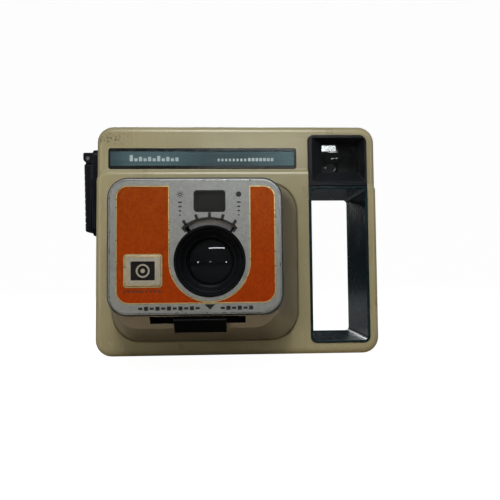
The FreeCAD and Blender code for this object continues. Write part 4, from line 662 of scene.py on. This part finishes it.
# ---- name strip ----
# Gloss black frame with a printed foil label; plain bars stand where such a camera
# has its name.
gloss_black, *_ = moulding("gloss_black", light_tone=(0.012, 0.013, 0.014), dark_tone=(0.008, 0.0085, 0.009),
                           rubbed_tone=(0.08, 0.08, 0.085), gloss=0.20, grain_height=0.4,
                           wear_amount=0.7, Specular_IOR_Level=0.3)
finish_nodes(gloss_black, "name_strip_frame")
label_foil, tree, shader, tone = metal("label_foil", (0.082, 0.148, 0.172), (0.054, 0.102, 0.122), 0.38,
                                       across=(40.0, 500.0, 900.0), metallic=0.5, wear_amount=0.4)
# Painted sheen: a brightness ramp across the label makes it light near the left end, dark through the middle
# and lighter again at the right.
here = add(tree, "SeparateXYZ", {"Vector": add(tree, "TexCoord").outputs["Object"]})
low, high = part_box("name_strip_label")
painted_sheen_ramp = add(tree, "ValToRGB", {"Fac": ramp(tree, here.outputs["X"], low.x, high.x)})
sheen_stops = painted_sheen_ramp.color_ramp.elements
sheen_stops[0].color = (0.62, 0.64, 0.66, 1)
sheen_stops[1].color = (1.0, 0.98, 0.95, 1)
for place, value in ((0.10, 1.05), (0.30, 1.0), (0.50, 0.50), (0.72, 0.46), (0.90, 0.72)):
    stop = sheen_stops.new(place)
    stop.color = (value, value, value, 1)
tree.links.new(tint(tree, 1.0, tone, painted_sheen_ramp.outputs["Color"], "MULTIPLY"), shader.inputs["Base Color"])
finish_nodes(label_foil, "name_strip_label")

label_white, *_ = moulding("label_white", light_tone=(0.42, 0.52, 0.56), dark_tone=(0.32, 0.41, 0.45),
                           rubbed_tone=(0.2, 0.26, 0.28), gloss=0.4, grain_height=0.4, wear_amount=0.8)
bars = []
face, film = low.y + 0.03 * mm, low.y - 0.05 * mm
bar_foot = (low.z + high.z) / 2 - 1.9 * mm
for i in range(11):
    x = (-68.6 + 2.9 * i) * mm
    tall = (3.1, 1.5, 2.2, 1.5, 2.2, 1.5, 2.7, 1.5, 2.2, 1.5, 1.9)[i] * mm
    bars.append(slab("bar", x, x + 2.0 * mm, bar_foot, bar_foot + 1.3 * tall, face, film, 0.35 * mm))
for i in range(15):
    x = (-12.6 + 2.45 * i) * mm
    tall = (2.1 if i > 7 else 1.7) * mm
    wide = (1.75 if i > 7 else 1.35) * mm
    bars.append(slab("bar", x, x + wide, bar_foot, bar_foot + tall, face, film, 0.2 * mm))
close_piece(joined("label_bars", bars), label_white, "housing")


# ---- viewfinder ----
# Black funnel with a hollow-ground front pane, a blackened tube behind it and a small
# eye lens in the back.
finder_black, *_ = moulding("finder_black", light_tone=(0.008, 0.009, 0.012), dark_tone=(0.005, 0.006, 0.008),
                            rubbed_tone=(0.07, 0.07, 0.075), gloss=0.30, grain=1700.0, grain_height=1.4,
                            Specular_IOR_Level=0.25)
finish_nodes(finder_black, "finder_bezel", "eyepiece_frame")
baffle_black, *_ = moulding("baffle_black", light_tone=(0.012, 0.012, 0.013), dark_tone=(0.007, 0.007, 0.008),
                            rubbed_tone=(0.03, 0.03, 0.03), gloss=0.62, grain=1200.0, grain_height=2.0,
                             Specular_IOR_Level=0.3)
finish_nodes(baffle_black, "finder_tube", "light_baffle", "film_chamber", "battery_tray")


# ---- hand opening ----
# Smooth dark liner round the hole for the fingers, with the shutter trigger let into
# its inner side.
liner_black, *_ = moulding("liner_black", light_tone=(0.002, 0.014, 0.018), dark_tone=(0.0015, 0.010, 0.013),
                           rubbed_tone=(0.07, 0.08, 0.085), gloss=0.26, grain=2000.0, grain_height=0.8,
                           Coat_Weight=0.3, Coat_Roughness=0.12, Specular_IOR_Level=0.3)
finish_nodes(liner_black, "grip_liner")
trigger_dark, *_ = moulding("trigger_dark", light_tone=(0.030, 0.030, 0.032), dark_tone=(0.022, 0.022, 0.024),
                            rubbed_tone=(0.10, 0.10, 0.10), gloss=0.35, grain=1500.0, grain_height=2.0)
finish_nodes(trigger_dark, "shutter_trigger")


# ---- winding crank and drive ----
# Moulded crank with a ribbed folding grip, steel pins, and white acetal gears that
# drive the two print rollers.
crank_black, *_ = moulding("crank_black", light_tone=(0.0035, 0.0045, 0.008),
                           dark_tone=(0.002, 0.0026, 0.005), rubbed_tone=(0.08, 0.09, 0.10),
                           gloss=0.34, grain=1500.0, grain_height=1.6, Specular_IOR_Level=0.25)
finish_nodes(crank_black, "crank_arm", "crank_grip", "crank_bush")
pin_steel, *_ = metal("pin_steel", (0.62, 0.62, 0.63), (0.48, 0.48, 0.49), 0.22, across=(1400.0, 80.0, 80.0),
                      mottled=0.3)
finish_nodes(pin_steel, "grip_pin", "crank_shaft", "front_roller", "rear_roller", "idler_pin", "trigger_pin",
             "door_hinge_pin")
acetal, *_ = moulding("acetal", light_tone=(0.74, 0.71, 0.63), dark_tone=(0.66, 0.63, 0.55),
                      rubbed_tone=(0.55, 0.52, 0.45), gloss=0.42, grain=1500.0)
finish_nodes(acetal, "crank_gear", "idler_gear", "roller_pinion", "front_coupling_gear", "rear_coupling_gear")
sintered, *_ = metal("sintered_bronze", (0.62, 0.42, 0.18), (0.42, 0.27, 0.10), 0.45,
                     across=(900.0, 900.0, 900.0), mottled=0.8)
finish_nodes(sintered, "roller_bushes", "release_switch")


# ---- shutter drive and electronics ----
# Enamelled copper coil, lacquered circuit board with its copper tracks showing
# through, and a jacketed battery with a bright band.
coil, *_ = metal("copper_coil", (0.66, 0.25, 0.09), (0.30, 0.10, 0.03), 0.34, across=(60.0, 2600.0, 60.0),
                 mottled=0.15)
finish_nodes(coil, "shutter_magnet")
board, tree, shader, tone = moulding("circuit_lacquer", light_tone=(0.030, 0.150, 0.060),
                                     dark_tone=(0.022, 0.115, 0.045), rubbed_tone=(0.2, 0.3, 0.2),
                                     gloss=0.3, grain_height=0.6)
here = add(tree, "TexCoord").outputs["Object"]
tracks = add(tree, "TexVoronoi", {"Vector": here, "Scale": 260.0}, distance="CHEBYCHEV",
             feature="F1").outputs["Distance"]
traced = tint(tree, ramp(tree, tracks, 0.50, 0.56), tone, (0.10, 0.26, 0.09, 1))
tree.links.new(traced, shader.inputs["Base Color"])
finish_nodes(board, "circuit_board")
jacket, tree, shader, tone = moulding("battery_jacket", light_tone=(0.055, 0.062, 0.085),
                                      dark_tone=(0.042, 0.048, 0.068), rubbed_tone=(0.3, 0.3, 0.3),
                                      gloss=0.28, grain_height=0.5, Metallic=0.3)
across = add(tree, "SeparateXYZ", {"Vector": add(tree, "TexCoord").outputs["Object"]}).outputs["X"]
low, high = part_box("battery")
band_start = high.x - 0.0125
band = ramp(tree, across, band_start, band_start + 0.0005)
tree.links.new(tint(tree, band, tone, (0.50, 0.36, 0.13, 1)), shader.inputs["Base Color"])
finish_nodes(jacket, "battery")


# ---- back, top and fixings ----
# Door latch, counter wheel with its numbers, flash socket, and four cross-slotted
# screws that hold the shells together.
finish_nodes(control_black, "door_latch")
finish_nodes(finder_black, "flash_socket")
counter_white, *_ = moulding("counter_white", light_tone=(0.78, 0.77, 0.73), dark_tone=(0.70, 0.69, 0.65),
                             rubbed_tone=(0.5, 0.5, 0.47), gloss=0.5)
finish_nodes(counter_white, "counter_wheel")
screw_zinc, *_ = metal("screw_zinc", (0.58, 0.57, 0.52), (0.40, 0.39, 0.35), 0.3,
                       across=(700.0, 700.0, 700.0), mottled=0.7, wear_amount=1.0)
finish_nodes(screw_zinc, "housing_screws")

low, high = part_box("counter_wheel")
hub_x, hub_z = (low.x + high.x) / 2, (low.z + high.z) / 2
digits = []
places = 11
for number in range(places):
    clear_selection()
    bpy.ops.object.text_add(rotation=(pi / 2, 0, pi))
    digit = bpy.context.object
    digit.data.body = str(number)
    digit.data.align_x, digit.data.align_y = "CENTER", "CENTER"
    digit.data.size, digit.data.extrude = 2.3 * mm, 0.04 * mm
    digit.data.resolution_u = 3
    bpy.ops.object.convert(target="MESH")
    digit = bpy.context.object
    digit.location = (hub_x, high.y + 0.02 * mm, hub_z + 4.9 * mm)
    bpy.ops.object.transform_apply(location=True, rotation=True, scale=True)
    digits.append(swing(digit, -number * 2 * pi / places, hub_x, hub_z))
close_piece(joined("counter_numbers", digits), ink, "counter")
